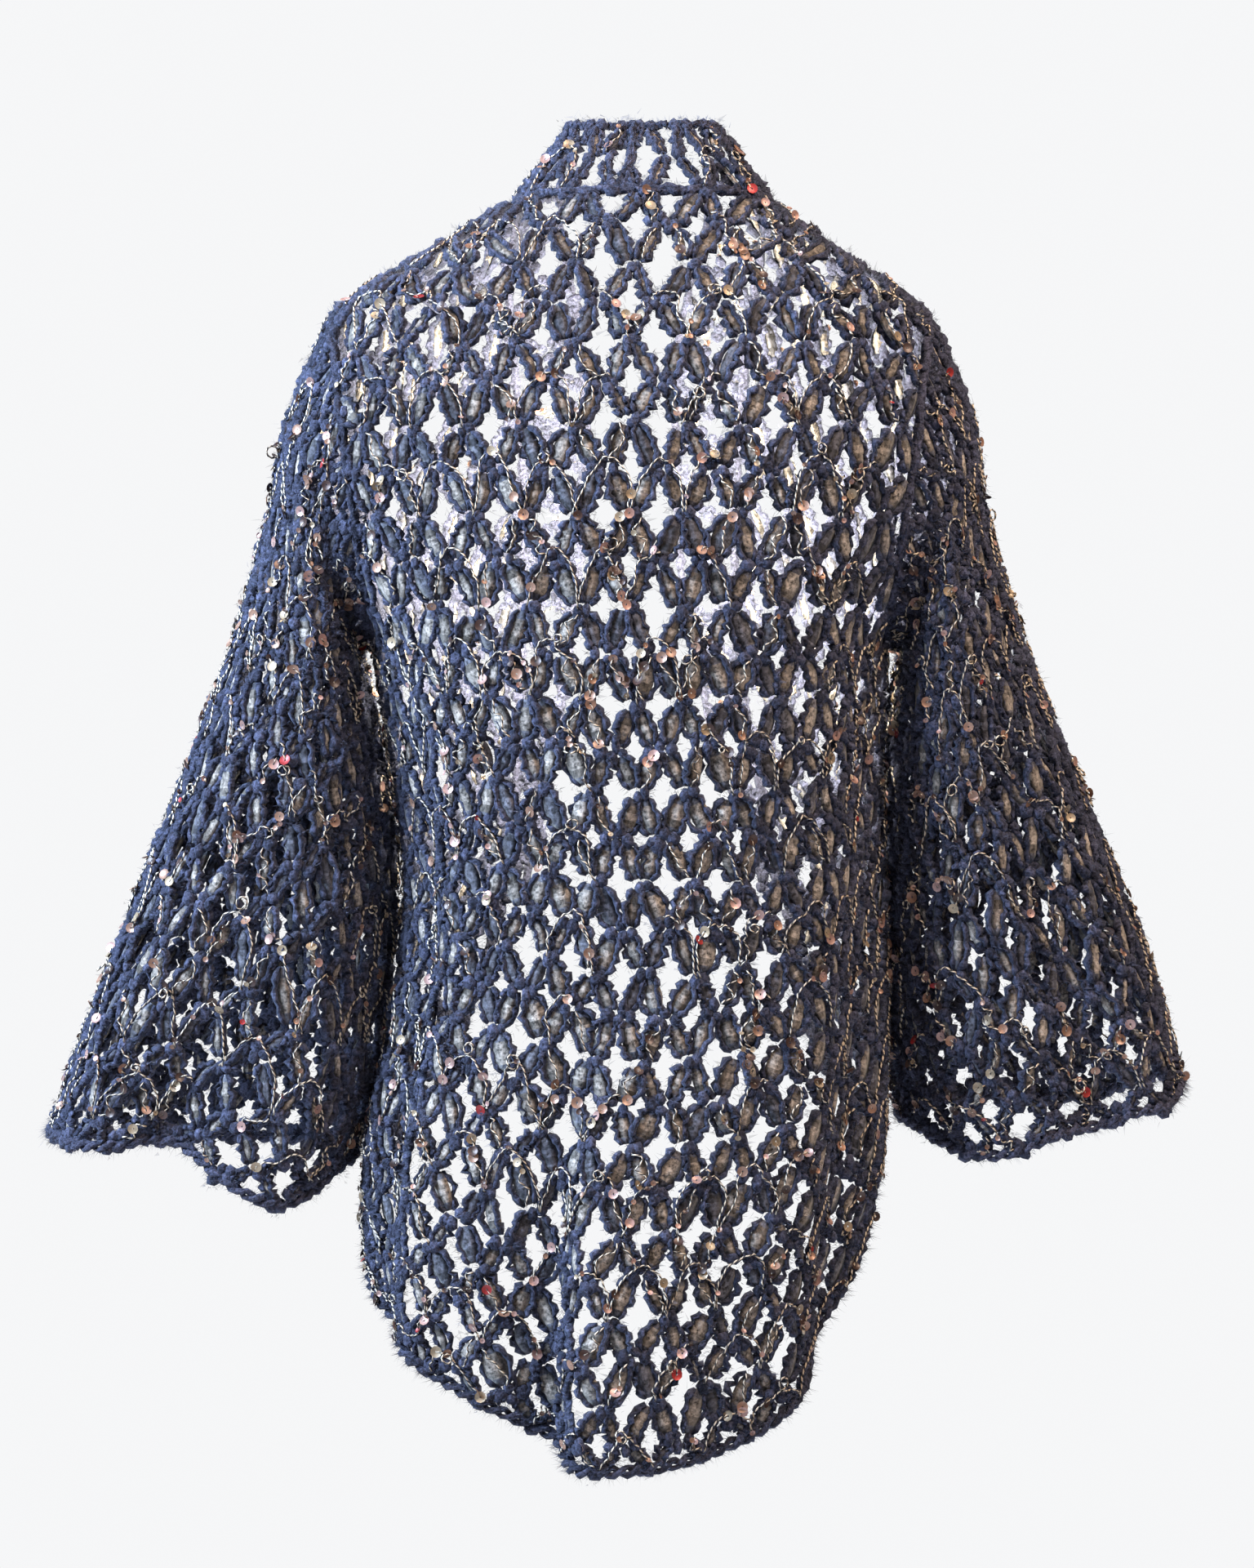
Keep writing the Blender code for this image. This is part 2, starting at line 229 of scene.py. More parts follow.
FRONT_EDGE = (
    FrontEdgeRow(0.000, 0.078),
    FrontEdgeRow(0.030, 0.079),
    FrontEdgeRow(0.080, 0.075),
    FrontEdgeRow(0.160, 0.069),
    FrontEdgeRow(0.260, 0.070),
    FrontEdgeRow(0.360, 0.079),
    FrontEdgeRow(0.450, 0.096),
    FrontEdgeRow(0.510, 0.112),
    FrontEdgeRow(0.580, 0.132),
)
HEM = {Side.LEFT: HemRow(0.640, 1.2), Side.RIGHT: HemRow(0.600, 2.35)}
HEM_STEP_START = 0.10
HEM_STEP_END = 0.17
BACK_FOLDS = (
    FoldRow(0.018, 0.009, 0.060, 0.022, 0.47, 0.74),
    FoldRow(0.041, 0.026, 0.015, -0.016, 0.45, 0.72),
    FoldRow(0.128, 0.026, 0.022, 0.008, 0.42, 0.66),
    FoldRow(-0.098, 0.026, 0.030, 0.007, 0.36, 0.70),
    FoldRow(-0.142, 0.018, 0.018, -0.008, 0.30, 0.60),
    FoldRow(0.150, 0.022, 0.018, -0.009, 0.22, 0.42),
    FoldRow(-0.160, 0.022, 0.022, -0.008, 0.16, 0.36),
)
ARMHOLE_RING = SleeveRow(
    0.00, TIP_X, TIP_DROP, UNDERARM_X, UNDERARM_DROP, 0.000, ARMHOLE_HALF_DEPTH, ARMHOLE_HALF_DEPTH
)
SLEEVES = {
    Side.LEFT: (
        ARMHOLE_RING,
        SleeveRow(0.10, 0.203, 0.118, 0.167, 0.272, -0.003, 0.061, 0.064),
        SleeveRow(0.25, 0.219, 0.185, 0.159, 0.311, -0.008, 0.066, 0.068),
        SleeveRow(0.45, 0.246, 0.278, 0.147, 0.385, -0.014, 0.069, 0.070),
        SleeveRow(0.65, 0.284, 0.375, 0.149, 0.465, -0.020, 0.070, 0.070),
        SleeveRow(0.85, 0.328, 0.487, 0.161, 0.548, -0.024, 0.069, 0.068),
        SleeveRow(1.00, 0.357, 0.566, 0.171, 0.582, -0.028, 0.066, 0.066),
    ),
    Side.RIGHT: (
        ARMHOLE_RING,
        SleeveRow(0.10, 0.204, 0.118, 0.167, 0.272, -0.003, 0.061, 0.064),
        SleeveRow(0.25, 0.216, 0.185, 0.161, 0.310, -0.008, 0.066, 0.068),
        SleeveRow(0.45, 0.242, 0.272, 0.159, 0.378, -0.014, 0.069, 0.070),
        SleeveRow(0.65, 0.281, 0.367, 0.161, 0.450, -0.020, 0.070, 0.070),
        SleeveRow(0.85, 0.321, 0.470, 0.163, 0.520, -0.024, 0.069, 0.068),
        SleeveRow(1.00, 0.339, 0.534, 0.167, 0.556, -0.028, 0.066, 0.066),
    ),
}
SLEEVE_FOLDS = {
    Side.LEFT: (
        SleeveFoldRow(120, 27, 0.010, 0.028, 0.40),
        SleeveFoldRow(82, 18, -0.012, -0.008, 0.50),
        SleeveFoldRow(48, 22, 0.008, 0.004, 0.35),
        SleeveFoldRow(-60, 30, 0.009, 0.010, 0.30),
        SleeveFoldRow(-105, 22, -0.008, 0.000, 0.40),
    ),
    Side.RIGHT: (
        SleeveFoldRow(112, 34, 0.006, 0.028, 0.35),
        SleeveFoldRow(70, 14, -0.009, 0.010, 0.20),
        SleeveFoldRow(44, 22, 0.008, 0.011, 0.30),
        SleeveFoldRow(-70, 30, 0.009, 0.012, 0.30),
        SleeveFoldRow(-112, 22, -0.008, 0.000, 0.40),
    ),
}
COLLAR = (
    CollarRow(0.00, 0.050, 0.0),
    CollarRow(0.20, 0.050, 0.0),
    CollarRow(0.32, 0.048, 0.25),
    CollarRow(0.45, 0.044, 0.80),
    CollarRow(0.60, 0.038, 1.0),
    CollarRow(0.80, 0.026, 1.0),
    CollarRow(1.00, 0.011, 1.0),
)
BACK_MESH = (
    MeshRow(0.00, 0.0348, 0.0470),
    MeshRow(0.12, 0.0342, 0.0500),
    MeshRow(0.24, 0.0318, 0.0540),
    MeshRow(0.45, 0.0286, 0.0545),
    MeshRow(0.62, 0.0295, 0.0520),
    MeshRow(0.85, 0.0350, 0.0485),
    MeshRow(1.00, 0.0370, 0.0465),
)
FRONT_MESH = (MeshRow(0.0, 0.037, 0.054), MeshRow(0.5, 0.034, 0.054), MeshRow(1.0, 0.035, 0.050))
SLEEVE_MESH = (MeshRow(0.0, 0.026, 0.046), MeshRow(0.5, 0.026, 0.045), MeshRow(1.0, 0.026, 0.044))
COLLAR_MESH = (MeshRow(0.0, 0.044, 0.050), MeshRow(0.5, 0.044, 0.050), MeshRow(1.0, 0.044, 0.050))
HEAVY_SPREAD = KnotSpread(0.17, 0.10)
LIGHT_SPREAD = KnotSpread(0.11, 0.11)
THREAD_ARCH = (
    ArchRow(0.00, 0.00, -0.25),
    ArchRow(0.25, 0.36, -0.12),
    ArchRow(0.50, 0.70, 0.22),
    ArchRow(0.75, 0.90, 0.60),
    ArchRow(1.00, 1.00, 1.00),
)


def unit(vectors: np.ndarray) -> np.ndarray:
    """Vectors brought to length 1 along their last axis."""
    return vectors / np.maximum(np.linalg.norm(vectors, axis=-1, keepdims=True), LEAST_LENGTH)


def eased(rows: tuple, column: str, place: np.ndarray) -> np.ndarray:
    """Values of a table column on a smooth curve through its rows.

    Args:
        rows: Table whose first column is the place.
        column: Name of the column to read.
        place: Places to read it at.

    Returns:
        One value for each place.
    """
    places = np.array([row[0] for row in rows])
    values = np.array([getattr(row, column) for row in rows])
    slopes = np.gradient(values, places)
    place = np.clip(place, places[0], places[-1])
    low = np.clip(np.searchsorted(places, place) - 1, 0, len(places) - 2)
    span = places[low + 1] - places[low]
    part = (place - places[low]) / span
    rest = 1 - part
    start = values[low] * (1 + 2 * part) + slopes[low] * span * part
    end = values[low + 1] * (1 + 2 * rest) - slopes[low + 1] * span * rest
    return start * rest**2 + end * part**2


def ramp(value: np.ndarray, start: float, full: float) -> np.ndarray:
    """Smooth rise from 0 at start to 1 at full."""
    part = np.clip((value - start) / (full - start), 0.0, 1.0)
    return part * part * (3 - 2 * part)


def evened(points: np.ndarray) -> np.ndarray:
    """Spread rows of points evenly along their own level lengths, so that folds take up cloth.

    Args:
        points: Points as rows, columns and XYZ.

    Returns:
        The rows with their points spread.
    """
    steps = np.linalg.norm(np.diff(points[..., :2], axis=1), axis=-1)
    even = np.linspace(0, 1, points.shape[1])
    rows = []
    for row, step in zip(points, steps):
        run = np.concatenate(([0.0], step.cumsum()))
        rows.append(np.stack([np.interp(even * run[-1], run, axis) for axis in row.T], axis=-1))
    return np.stack(rows)


@dataclass
class Cloth:
    """Surface of one cut piece as a fine grid: u runs across it and v down it, both from 0 to 1."""

    points: np.ndarray
    wraps: bool = False
    outward: np.ndarray = field(init=False)

    def __post_init__(self) -> None:
        """Work out the outward direction at every grid point."""
        across = np.gradient(self.points, axis=1)
        if self.wraps:
            closing = self.points[:, 1] - self.points[:, -2]
            across[:, 0] = closing
            across[:, -1] = closing
        down = np.gradient(self.points, axis=0)
        normal = unit(np.cross(across, down))
        hub = self.points.mean(axis=1, keepdims=True) if self.wraps else self.points * (0, 0, 1)
        if np.sum(normal * (self.points - hub)) < 0:
            normal = -normal
        self.outward = normal

    def read(self, grid: np.ndarray, u: np.ndarray, v: np.ndarray) -> np.ndarray:
        """Grid values at places between the grid's points.

        Args:
            grid: Values for each row and column.
            u: Places across.
            v: Places down.

        Returns:
            One value for each place.
        """
        rows, columns = grid.shape[:2]
        u = np.mod(u, 1.0) if self.wraps else np.clip(u, 0.0, 1.0)
        x = u * (columns - 1)
        y = np.clip(v, 0.0, 1.0) * (rows - 1)
        left = np.minimum(x.astype(int), columns - 2)
        top = np.minimum(y.astype(int), rows - 2)
        part_x = (x - left)[..., None]
        part_y = (y - top)[..., None]
        upper = grid[top, left] * (1 - part_x) + grid[top, left + 1] * part_x
        lower = grid[top + 1, left] * (1 - part_x) + grid[top + 1, left + 1] * part_x
        return upper * (1 - part_y) + lower * part_y

    def places(self, u: np.ndarray, v: np.ndarray) -> tuple[np.ndarray, np.ndarray]:
        """Points and outward directions at places on the cloth."""
        return self.read(self.points, u, v), unit(self.read(self.outward, u, v))

    def across_length(self, v: float) -> float:
        """Length of the cloth across at one place down it."""
        row = self.points[int(round(v * (len(self.points) - 1)))]
        return float(np.linalg.norm(np.diff(row, axis=0), axis=1).sum())

    def down_length(self, u: float) -> float:
        """Length of the cloth down at one place across it."""
        column = self.points[:, int(round(u * (self.points.shape[1] - 1)))]
        return float(np.linalg.norm(np.diff(column, axis=0), axis=1).sum())

    def flat(self) -> tuple[float, float]:
        """Width and length of the flat piece it is cut from."""
        shares = np.linspace(0, 1, FLAT_CHECKS)
        width = max(self.across_length(share) for share in shares)
        return width, max(self.down_length(share) for share in shares)

    def area(self) -> float:
        """Area of the cloth."""
        across = np.diff(self.points, axis=1)[:-1]
        down = np.diff(self.points, axis=0)[:, :-1]
        return float(np.linalg.norm(np.cross(across, down), axis=-1).sum())


@dataclass(frozen=True)
class BodyForm:
    """Hanging form of the cardigan's body, from which the back, the fronts and the collar are cut."""

    rows: int = 110
    columns: int = 240

    def section(self, drop: np.ndarray, facing: str) -> tuple[np.ndarray, np.ndarray, np.ndarray]:
        """Shape of the body's section at each drop.

        Args:
            drop: Drops of the sections.
            facing: Half of the body, back or front.

        Returns:
            Half-width, depth and edge angle of each section.
        """
        depth = eased(DEPTH, facing, drop)
        part = np.clip((drop - TIP_DROP) / (UNDERARM_DROP - TIP_DROP), 0.0, 1.0)
        edge_y = ARMHOLE_HALF_DEPTH * np.sqrt(np.maximum(1 - (2 * part - 1) ** 2, 0.0))
        edge_x = TIP_X + part * (UNDERARM_X - TIP_X)
        armhole_width = edge_x / (1 - (edge_y / depth) ** ROUNDNESS) ** (1 / ROUNDNESS)
        half_width = np.where(drop <= TIP_DROP, eased(SHOULDER, "half_width", drop), armhole_width)
        half_width = np.where(drop >= UNDERARM_DROP, eased(SIDE_SEAM, "half_width", drop), half_width)
        in_armhole = (drop > TIP_DROP) & (drop < UNDERARM_DROP)
        reach = np.where(in_armhole, np.minimum(edge_x / half_width, 1.0), 1.0)
        return half_width, depth, np.arcsin(reach ** (ROUNDNESS / 2))

    def along_section(
        self, half_width: np.ndarray, depth: np.ndarray, start: np.ndarray, end: np.ndarray, share: np.ndarray
    ) -> tuple[np.ndarray, np.ndarray, np.ndarray]:
        """Places at even shares of the length along a stretch of each section.

        Args:
            half_width: Half-width of each section.
            depth: Depth of each section.
            start: Angle where each stretch starts.
            end: Angle where each stretch ends.
            share: Share of each stretch's length.

        Returns:
            Distance from the centre, depth, and length of the stretch, for each section.
        """
        angles = start[:, None] + (end - start)[:, None] * np.linspace(0, 1, SECTION_STEPS)
        x = half_width[:, None] * np.abs(np.sin(angles)) ** (2 / ROUNDNESS)
        y = depth[:, None] * np.abs(np.cos(angles)) ** (2 / ROUNDNESS)
        steps = np.hypot(np.diff(x, axis=1), np.diff(y, axis=1))
        lengths = np.concatenate((np.zeros((len(x), 1)), np.cumsum(steps, axis=1)), axis=1)
        place = share * lengths[:, -1]
        low = np.clip((lengths <= place[:, None]).sum(axis=1) - 1, 0, SECTION_STEPS - 2)
        row = np.arange(len(x))
        span = np.maximum(lengths[row, low + 1] - lengths[row, low], LEAST_SPAN)
        part = (place - lengths[row, low]) / span
        at_x = x[row, low] + (x[row, low + 1] - x[row, low]) * part
        at_y = y[row, low] + (y[row, low + 1] - y[row, low]) * part
        return at_x, at_y, lengths[:, -1]

    def back_points(self, share: np.ndarray, drop: np.ndarray) -> np.ndarray:
        """Points of the back, pushed out by its folds.

        Args:
            share: Places across, from -1 at the right edge to 1 at the left one.
            drop: Drop of each point.

        Returns:
            One point for each share and drop.
        """
        half_width, depth, edge = self.section(drop, "back")
        x, y, length = self.along_section(half_width, depth, np.zeros_like(edge), edge, np.abs(share))
        steep = ROUNDNESS - 1
        out_x = (x / half_width) ** steep / half_width
        out_y = (y / depth) ** steep / depth
        size = np.hypot(out_x, out_y)
        across = share * length
        push = np.zeros_like(drop)
        for fold in BACK_FOLDS:
            width = np.where(across > fold.across, fold.left_width, fold.right_width)
            bump = np.exp(-(((across - fold.across) / width) ** 2))
            push += fold.depth * bump * ramp(drop, fold.start_drop, fold.full_drop)
        centre = eased(DEPTH, "shift", drop)
        hand = np.where(share >= 0, 1.0, -1.0)
        return np.stack((centre + hand * (x + out_x / size * push), y + out_y / size * push, -drop), axis=-1)

    def front_points(self, side: Side, share: np.ndarray, drop: np.ndarray) -> np.ndarray:
        """Points of a front.

        Args:
            side: Side of the wearer.
            share: Places across, from 0 at the side seam to 1 at the front edge.
            drop: Drop of each point.

        Returns:
            One point for each share and drop.
        """
        half_width, depth, edge = self.section(drop, "front")
        from_centre = np.minimum(eased(FRONT_EDGE, "from_centre", drop), half_width)
        front = np.arcsin((from_centre / half_width) ** (ROUNDNESS / 2))
        x, y, _ = self.along_section(half_width, depth, edge, front, share)
        return np.stack((eased(DEPTH, "shift", drop) + side.value * x, -y, -drop), axis=-1)

    def level_drops(self, first: float, hems: np.ndarray) -> np.ndarray:
        """Drops of a panel's rows, level down to the underarm and then fanned out to its hem.

        Args:
            first: Drop of the top row.
            hems: Drop of the hem at each place across.

        Returns:
            Drops, with a column for each place across.
        """
        longest = hems.max()
        drop = np.linspace(first, longest, self.rows)[:, None]
        below = UNDERARM_DROP + (drop - UNDERARM_DROP) * (hems - UNDERARM_DROP) / (longest - UNDERARM_DROP)
        return np.where(drop <= UNDERARM_DROP, drop, below)

    def back(self) -> Cloth:
        """Cloth of the back.

        Returns:
            The cloth, u from its left edge to its right one.
        """
        shares = np.linspace(1, -1, self.columns)
        curve = np.where(shares >= 0, HEM[Side.LEFT].curve, HEM[Side.RIGHT].curve)
        side_drop = np.where(shares >= 0, HEM[Side.LEFT].side_drop, HEM[Side.RIGHT].side_drop)
        step = np.where(shares >= 0, ramp(shares, HEM_STEP_START, HEM_STEP_END), 1.0)
        hems = HEM_DROP_CENTRE - (HEM_DROP_CENTRE - side_drop) * step * np.abs(shares) ** curve
        drops = self.level_drops(0.0, hems)
        spread = np.broadcast_to(shares, drops.shape)
        points = self.back_points(spread.ravel(), drops.ravel())
        return Cloth(evened(points.reshape(*drops.shape, 3)))

    def front(self, side: Side) -> Cloth:
        """Cloth of a front.

        Args:
            side: Side of the wearer.

        Returns:
            The cloth, u from its side seam to its front edge.
        """
        shares = np.linspace(0, 1, self.columns // 2)
        drops = self.level_drops(FRONT_NECK_DROP, HEM[side].side_drop - FRONT_HEM_RISE * shares)
        spread = np.broadcast_to(shares, drops.shape)
        points = self.front_points(side, spread.ravel(), drops.ravel())
        return Cloth(points.reshape(*drops.shape, 3))

    def collar_seam(self, side: Side, share: np.ndarray) -> np.ndarray:
        """Seam that joins a collar half to the neck and the front edge.

        Args:
            side: Side of the wearer.
            share: Places along the seam, from 0 at centre back to 1 at its front end.

        Returns:
            One point for each share.
        """
        half_width, depth, _ = self.section(np.zeros_like(share), "back")
        seam_angle = side.value * COLLAR_SEAM_ANGLE
        angle = seam_angle + (pi / 2 - seam_angle) * np.minimum(share / COLLAR_BACK_SHARE, 1.0)
        x = half_width * np.sign(angle) * np.abs(np.sin(angle)) ** (2 / ROUNDNESS)
        y = depth * np.abs(np.cos(angle)) ** (2 / ROUNDNESS)
        neck_x = eased(DEPTH, "shift", np.zeros_like(share))
        behind = np.stack((neck_x + side.value * x, y, np.zeros_like(share)), axis=-1)
        drop = COLLAR_END_DROP * np.clip((share - COLLAR_BACK_SHARE) / (1 - COLLAR_BACK_SHARE), 0.0, 1.0)
        before = self.front_points(side, np.ones_like(share), drop)
        return np.where((share <= COLLAR_BACK_SHARE)[:, None], behind, before)

    def collar(self, side: Side) -> Cloth:
        """Cloth of a collar half.

        Args:
            side: Side of the wearer.

        Returns:
            The cloth, u from centre back to its front end and v from its top edge to its seam.
        """
        shares = np.linspace(0, 1, self.columns)
        seam = self.collar_seam(side, shares)
        neck_x = eased(DEPTH, "shift", np.zeros_like(shares))
        inward = unit(np.stack((neck_x - seam[:, 0], -seam[:, 1], np.zeros_like(shares)), axis=-1))
        standing = inward * np.sin(COLLAR_LEAN) + np.array((0, 0, np.cos(COLLAR_LEAN)))
        lying = unit(np.array((-side.value, -COLLAR_LYING_FORWARD, COLLAR_LYING_RISE)))
        turn = eased(COLLAR, "turn", shares)[:, None]
        rising = unit(standing * (1 - turn) + lying * turn)
        rise = np.linspace(1, 0, COLLAR_ROWS)[:, None, None]
        height = COLLAR_PULL + rise * eased(COLLAR, "width", shares)[:, None]
        return Cloth(seam + rising * height)


@dataclass(frozen=True)
class SleeveForm:
    """Hanging form of one bell sleeve, a tube from its armhole to its cuff."""

    side: Side
    rows: int = 90
    columns: int = 121

    def cloth(self) -> Cloth:
        """Cloth of the sleeve.

        Returns:
            The cloth, u once round it from the outer line over the back and v from armhole to cuff.
        """
        share = np.linspace(0, 1, self.rows)[:, None] * np.ones(self.columns)
        angle = np.linspace(0, 2 * pi, self.columns) * np.ones_like(share)
        row = {name: eased(SLEEVES[self.side], name, share) for name in SleeveRow._fields[1:]}
        across = np.cos(angle)
        deep = np.sin(angle)
        push = np.zeros_like(share)
        fall = np.zeros_like(share)
        for fold in SLEEVE_FOLDS[self.side]:
            turn = np.mod(angle - radians(fold.angle) + pi, 2 * pi) - pi
            bump = np.exp(-((turn / radians(fold.width)) ** 2)) * ramp(share, fold.start_share, 1.0)
            push += fold.depth * bump
            fall += fold.cuff_drop * bump
        half_depth = np.where(deep >= 0, row["back"], row["front"])
        middle_x = (row["outer_x"] + row["inner_x"]) / 2
        middle_drop = (row["outer_drop"] + row["inner_drop"]) / 2
        x = middle_x + (row["outer_x"] - row["inner_x"]) / 2 * across
        drop = middle_drop + (row["outer_drop"] - row["inner_drop"]) / 2 * across
        y = row["middle_y"] + half_depth * deep
        points = np.stack((self.side.value * (x + push * across), y + push * deep, -drop - fall), axis=-1)
        return Cloth(points, wraps=True)


class FaceSet(NamedTuple):
    """Faces with the same number of corners, with their corner UVs, tones and material slot."""

    corners: np.ndarray
    uv: np.ndarray
    tone: np.ndarray
    slot: int


@dataclass
class MeshBatch:
    """Many small shapes gathered as arrays and joined into one mesh."""

    points: list[np.ndarray] = field(default_factory=list)
    faces: list[FaceSet] = field(default_factory=list)
    count: int = 0

    def add(self, points: np.ndarray, sets: list[FaceSet]) -> None:
        """Add points and faces.

        Args:
            points: The points.
            sets: Faces that number these points from 0.
        """
        for face_set in sets:
            self.faces.append(face_set._replace(corners=face_set.corners + self.count))
        self.points.append(points.reshape(-1, 3))
        self.count += len(self.points[-1])

    def add_tubes(
        self,
        centres: np.ndarray,
        outward: np.ndarray,
        radii: np.ndarray,
        sides: int,
        tone: np.ndarray,
        slot: int = 0,
        widths: np.ndarray | None = None,
        closed: bool = False,
    ) -> None:
        """Add tubes that follow routes of the same number of points.

        Args:
            centres: Routes, as tubes, steps and XYZ.
            outward: Direction of each ring's first corner.
            radii: Half-thickness of each ring along that direction.
            sides: Corners of a ring.
            tone: Colour of each tube, or of each span of each tube.
            slot: Material slot.
            widths: Half-thickness of each ring sideways, the same as radii where left out.
            closed: Whether the last step joins the first.
        """
        count, steps, _ = centres.shape
        if closed:
            along = np.roll(centres, -1, axis=1) - np.roll(centres, 1, axis=1)
        else:
            along = np.gradient(centres, axis=1)
        along = unit(along)
        beside = unit(np.cross(along, outward))
        rise = np.cross(beside, along)
        angle = 2 * pi * np.arange(sides) / sides
        high = (radii[..., None] * np.cos(angle))[..., None]
        wide = ((radii if widths is None else widths)[..., None] * np.sin(angle))[..., None]
        rings = centres[:, :, None] + rise[:, :, None] * high + beside[:, :, None] * wide
        index = np.arange(count * steps * sides).reshape(count, steps, sides)
        nearer = index if closed else index[:, :-1]
        farther = np.roll(index, -1, axis=1) if closed else index[:, 1:]
        beyond = np.roll(farther, -1, axis=2)
        quads = np.stack((nearer, np.roll(nearer, -1, axis=2), beyond, farther), axis=-1)
        run = np.linalg.norm(np.diff(centres, axis=1), axis=2).cumsum(axis=1)
        run = np.concatenate((np.zeros((count, 1)), run), axis=1)
        first = run if closed else run[:, :-1]
        last = np.concatenate((run[:, 1:], run[:, -1:] + run[:, 1:2]), axis=1) if closed else run[:, 1:]
        turn = np.arange(sides) / sides
        shape = quads.shape[:3]
        start_u = np.broadcast_to(first[:, :, None], shape)
        end_u = np.broadcast_to(last[:, :, None], shape)
        low_v = np.broadcast_to(turn, shape)
        high_v = low_v + 1 / sides
        corners = ((start_u, low_v), (start_u, high_v), (end_u, high_v), (end_u, low_v))
        uv = np.stack([np.stack(pair, axis=-1) for pair in corners], axis=-2)
        spans = tone if tone.ndim == 3 else tone[:, None]
        tones = np.broadcast_to(spans[:, :, None], (*shape, 3))
        sets = [FaceSet(quads.reshape(-1, 4), uv.reshape(-1, 4, 2), tones.reshape(-1, 3), slot)]
        if not closed:
            caps = np.concatenate((index[:, 0, ::-1], index[:, -1]))
            ends = np.zeros((len(caps), sides, 2))
            sets.append(FaceSet(caps, ends, np.concatenate((spans[:, 0], spans[:, -1])), slot))
        self.add(rings, sets)

    def add_copies(
        self, stamp: "Stamp", origins: np.ndarray, axes: np.ndarray, tone: np.ndarray, slot: int = 0
    ) -> None:
        """Add copies of a modelled shape.

        Args:
            stamp: The shape.
            origins: Place of each copy.
            axes: The three scaled axes of each copy, one in each row.
            tone: Colour of each copy.
            slot: Material slot.
        """
        placed = origins[:, None] + np.einsum("pk,nkx->npx", stamp.points, axes)
        shift = (np.arange(len(origins)) * len(stamp.points))[:, None, None]
        sets = []
        for corners in stamp.faces:
            every = (corners[None] + shift).reshape(-1, corners.shape[1])
            uv = np.tile(stamp.points[corners][:, :, :2], (len(origins), 1, 1))
            sets.append(FaceSet(every, uv, np.repeat(tone, len(corners), axis=0), slot))
        self.add(placed, sets)

    def add_hairs(
        self, roots: np.ndarray, tips: np.ndarray, width: float, tone: np.ndarray, slot: int = 0
    ) -> None:
        """Add fine straight hairs, each a sliver that tapers to its tip.

        Args:
            roots: Start of each hair.
            tips: End of each hair.
            width: Width at the root.
            tone: Colour of each hair.
            slot: Material slot.
        """
        sideways = unit(np.cross(tips - roots, roots[:, ::-1] + HAIR_NUDGE)) * width / 2
        points = np.stack((roots - sideways, roots + sideways, tips), axis=1)
        slivers = np.arange(len(roots) * 3).reshape(-1, 3)
        self.add(points, [FaceSet(slivers, np.zeros((len(slivers), 3, 2)), tone, slot)])

    def to_object(self, name: str, materials: list[bpy.types.Material]) -> bpy.types.Object:
        """Join everything into one smooth mesh object.

        Args:
            name: Name of the object.
            materials: Materials in the order of their slots.

        Returns:
            The new object, at the origin.
        """
        points = np.concatenate(self.points)
        sizes = np.concatenate([np.full(len(part.corners), part.corners.shape[1]) for part in self.faces])
        corners = np.concatenate([part.corners.ravel() for part in self.faces])
        slots = np.concatenate([np.full(len(part.corners), part.slot) for part in self.faces])
        mesh = bpy.data.meshes.new(name)
        mesh.vertices.add(len(points))
        mesh.vertices.foreach_set("co", points.astype(np.float32).ravel())
        mesh.loops.add(len(corners))
        mesh.loops.foreach_set("vertex_index", corners.astype(np.int32))
        mesh.polygons.add(len(sizes))
        mesh.polygons.foreach_set("loop_start", (np.cumsum(sizes) - sizes).astype(np.int32))
        mesh.polygons.foreach_set("material_index", slots.astype(np.int32))
        mesh.update(calc_edges=True)
        uv = np.concatenate([part.uv.reshape(-1, 2) for part in self.faces])
        mesh.uv_layers.new(name=UV_MAP).data.foreach_set("uv", uv.astype(np.float32).ravel())
        tone = np.concatenate([part.tone for part in self.faces])
        tone = np.concatenate((tone, np.ones((len(tone), 1))), axis=1)
        dyed = mesh.attributes.new(TONE, "FLOAT_COLOR", "FACE")
        dyed.data.foreach_set("color", tone.astype(np.float32).ravel())
        mesh.shade_smooth()
        for material in materials:
            mesh.materials.append(material)
        piece = bpy.data.objects.new(name, mesh)
        bpy.context.scene.collection.objects.link(piece)
        return piece


# Shapes of one sequin and of one lump of a knot, in shares of their radius.
SEQUIN_CORNERS = 9
SEQUIN_RIM = 0.30
SEQUIN_CUP = 0.13
SEQUIN_FLOOR = 0.48
SEQUIN_DIMPLE = 0.05
LUMP_UNEVENNESS = 0.16
LUMP_SEED = 3


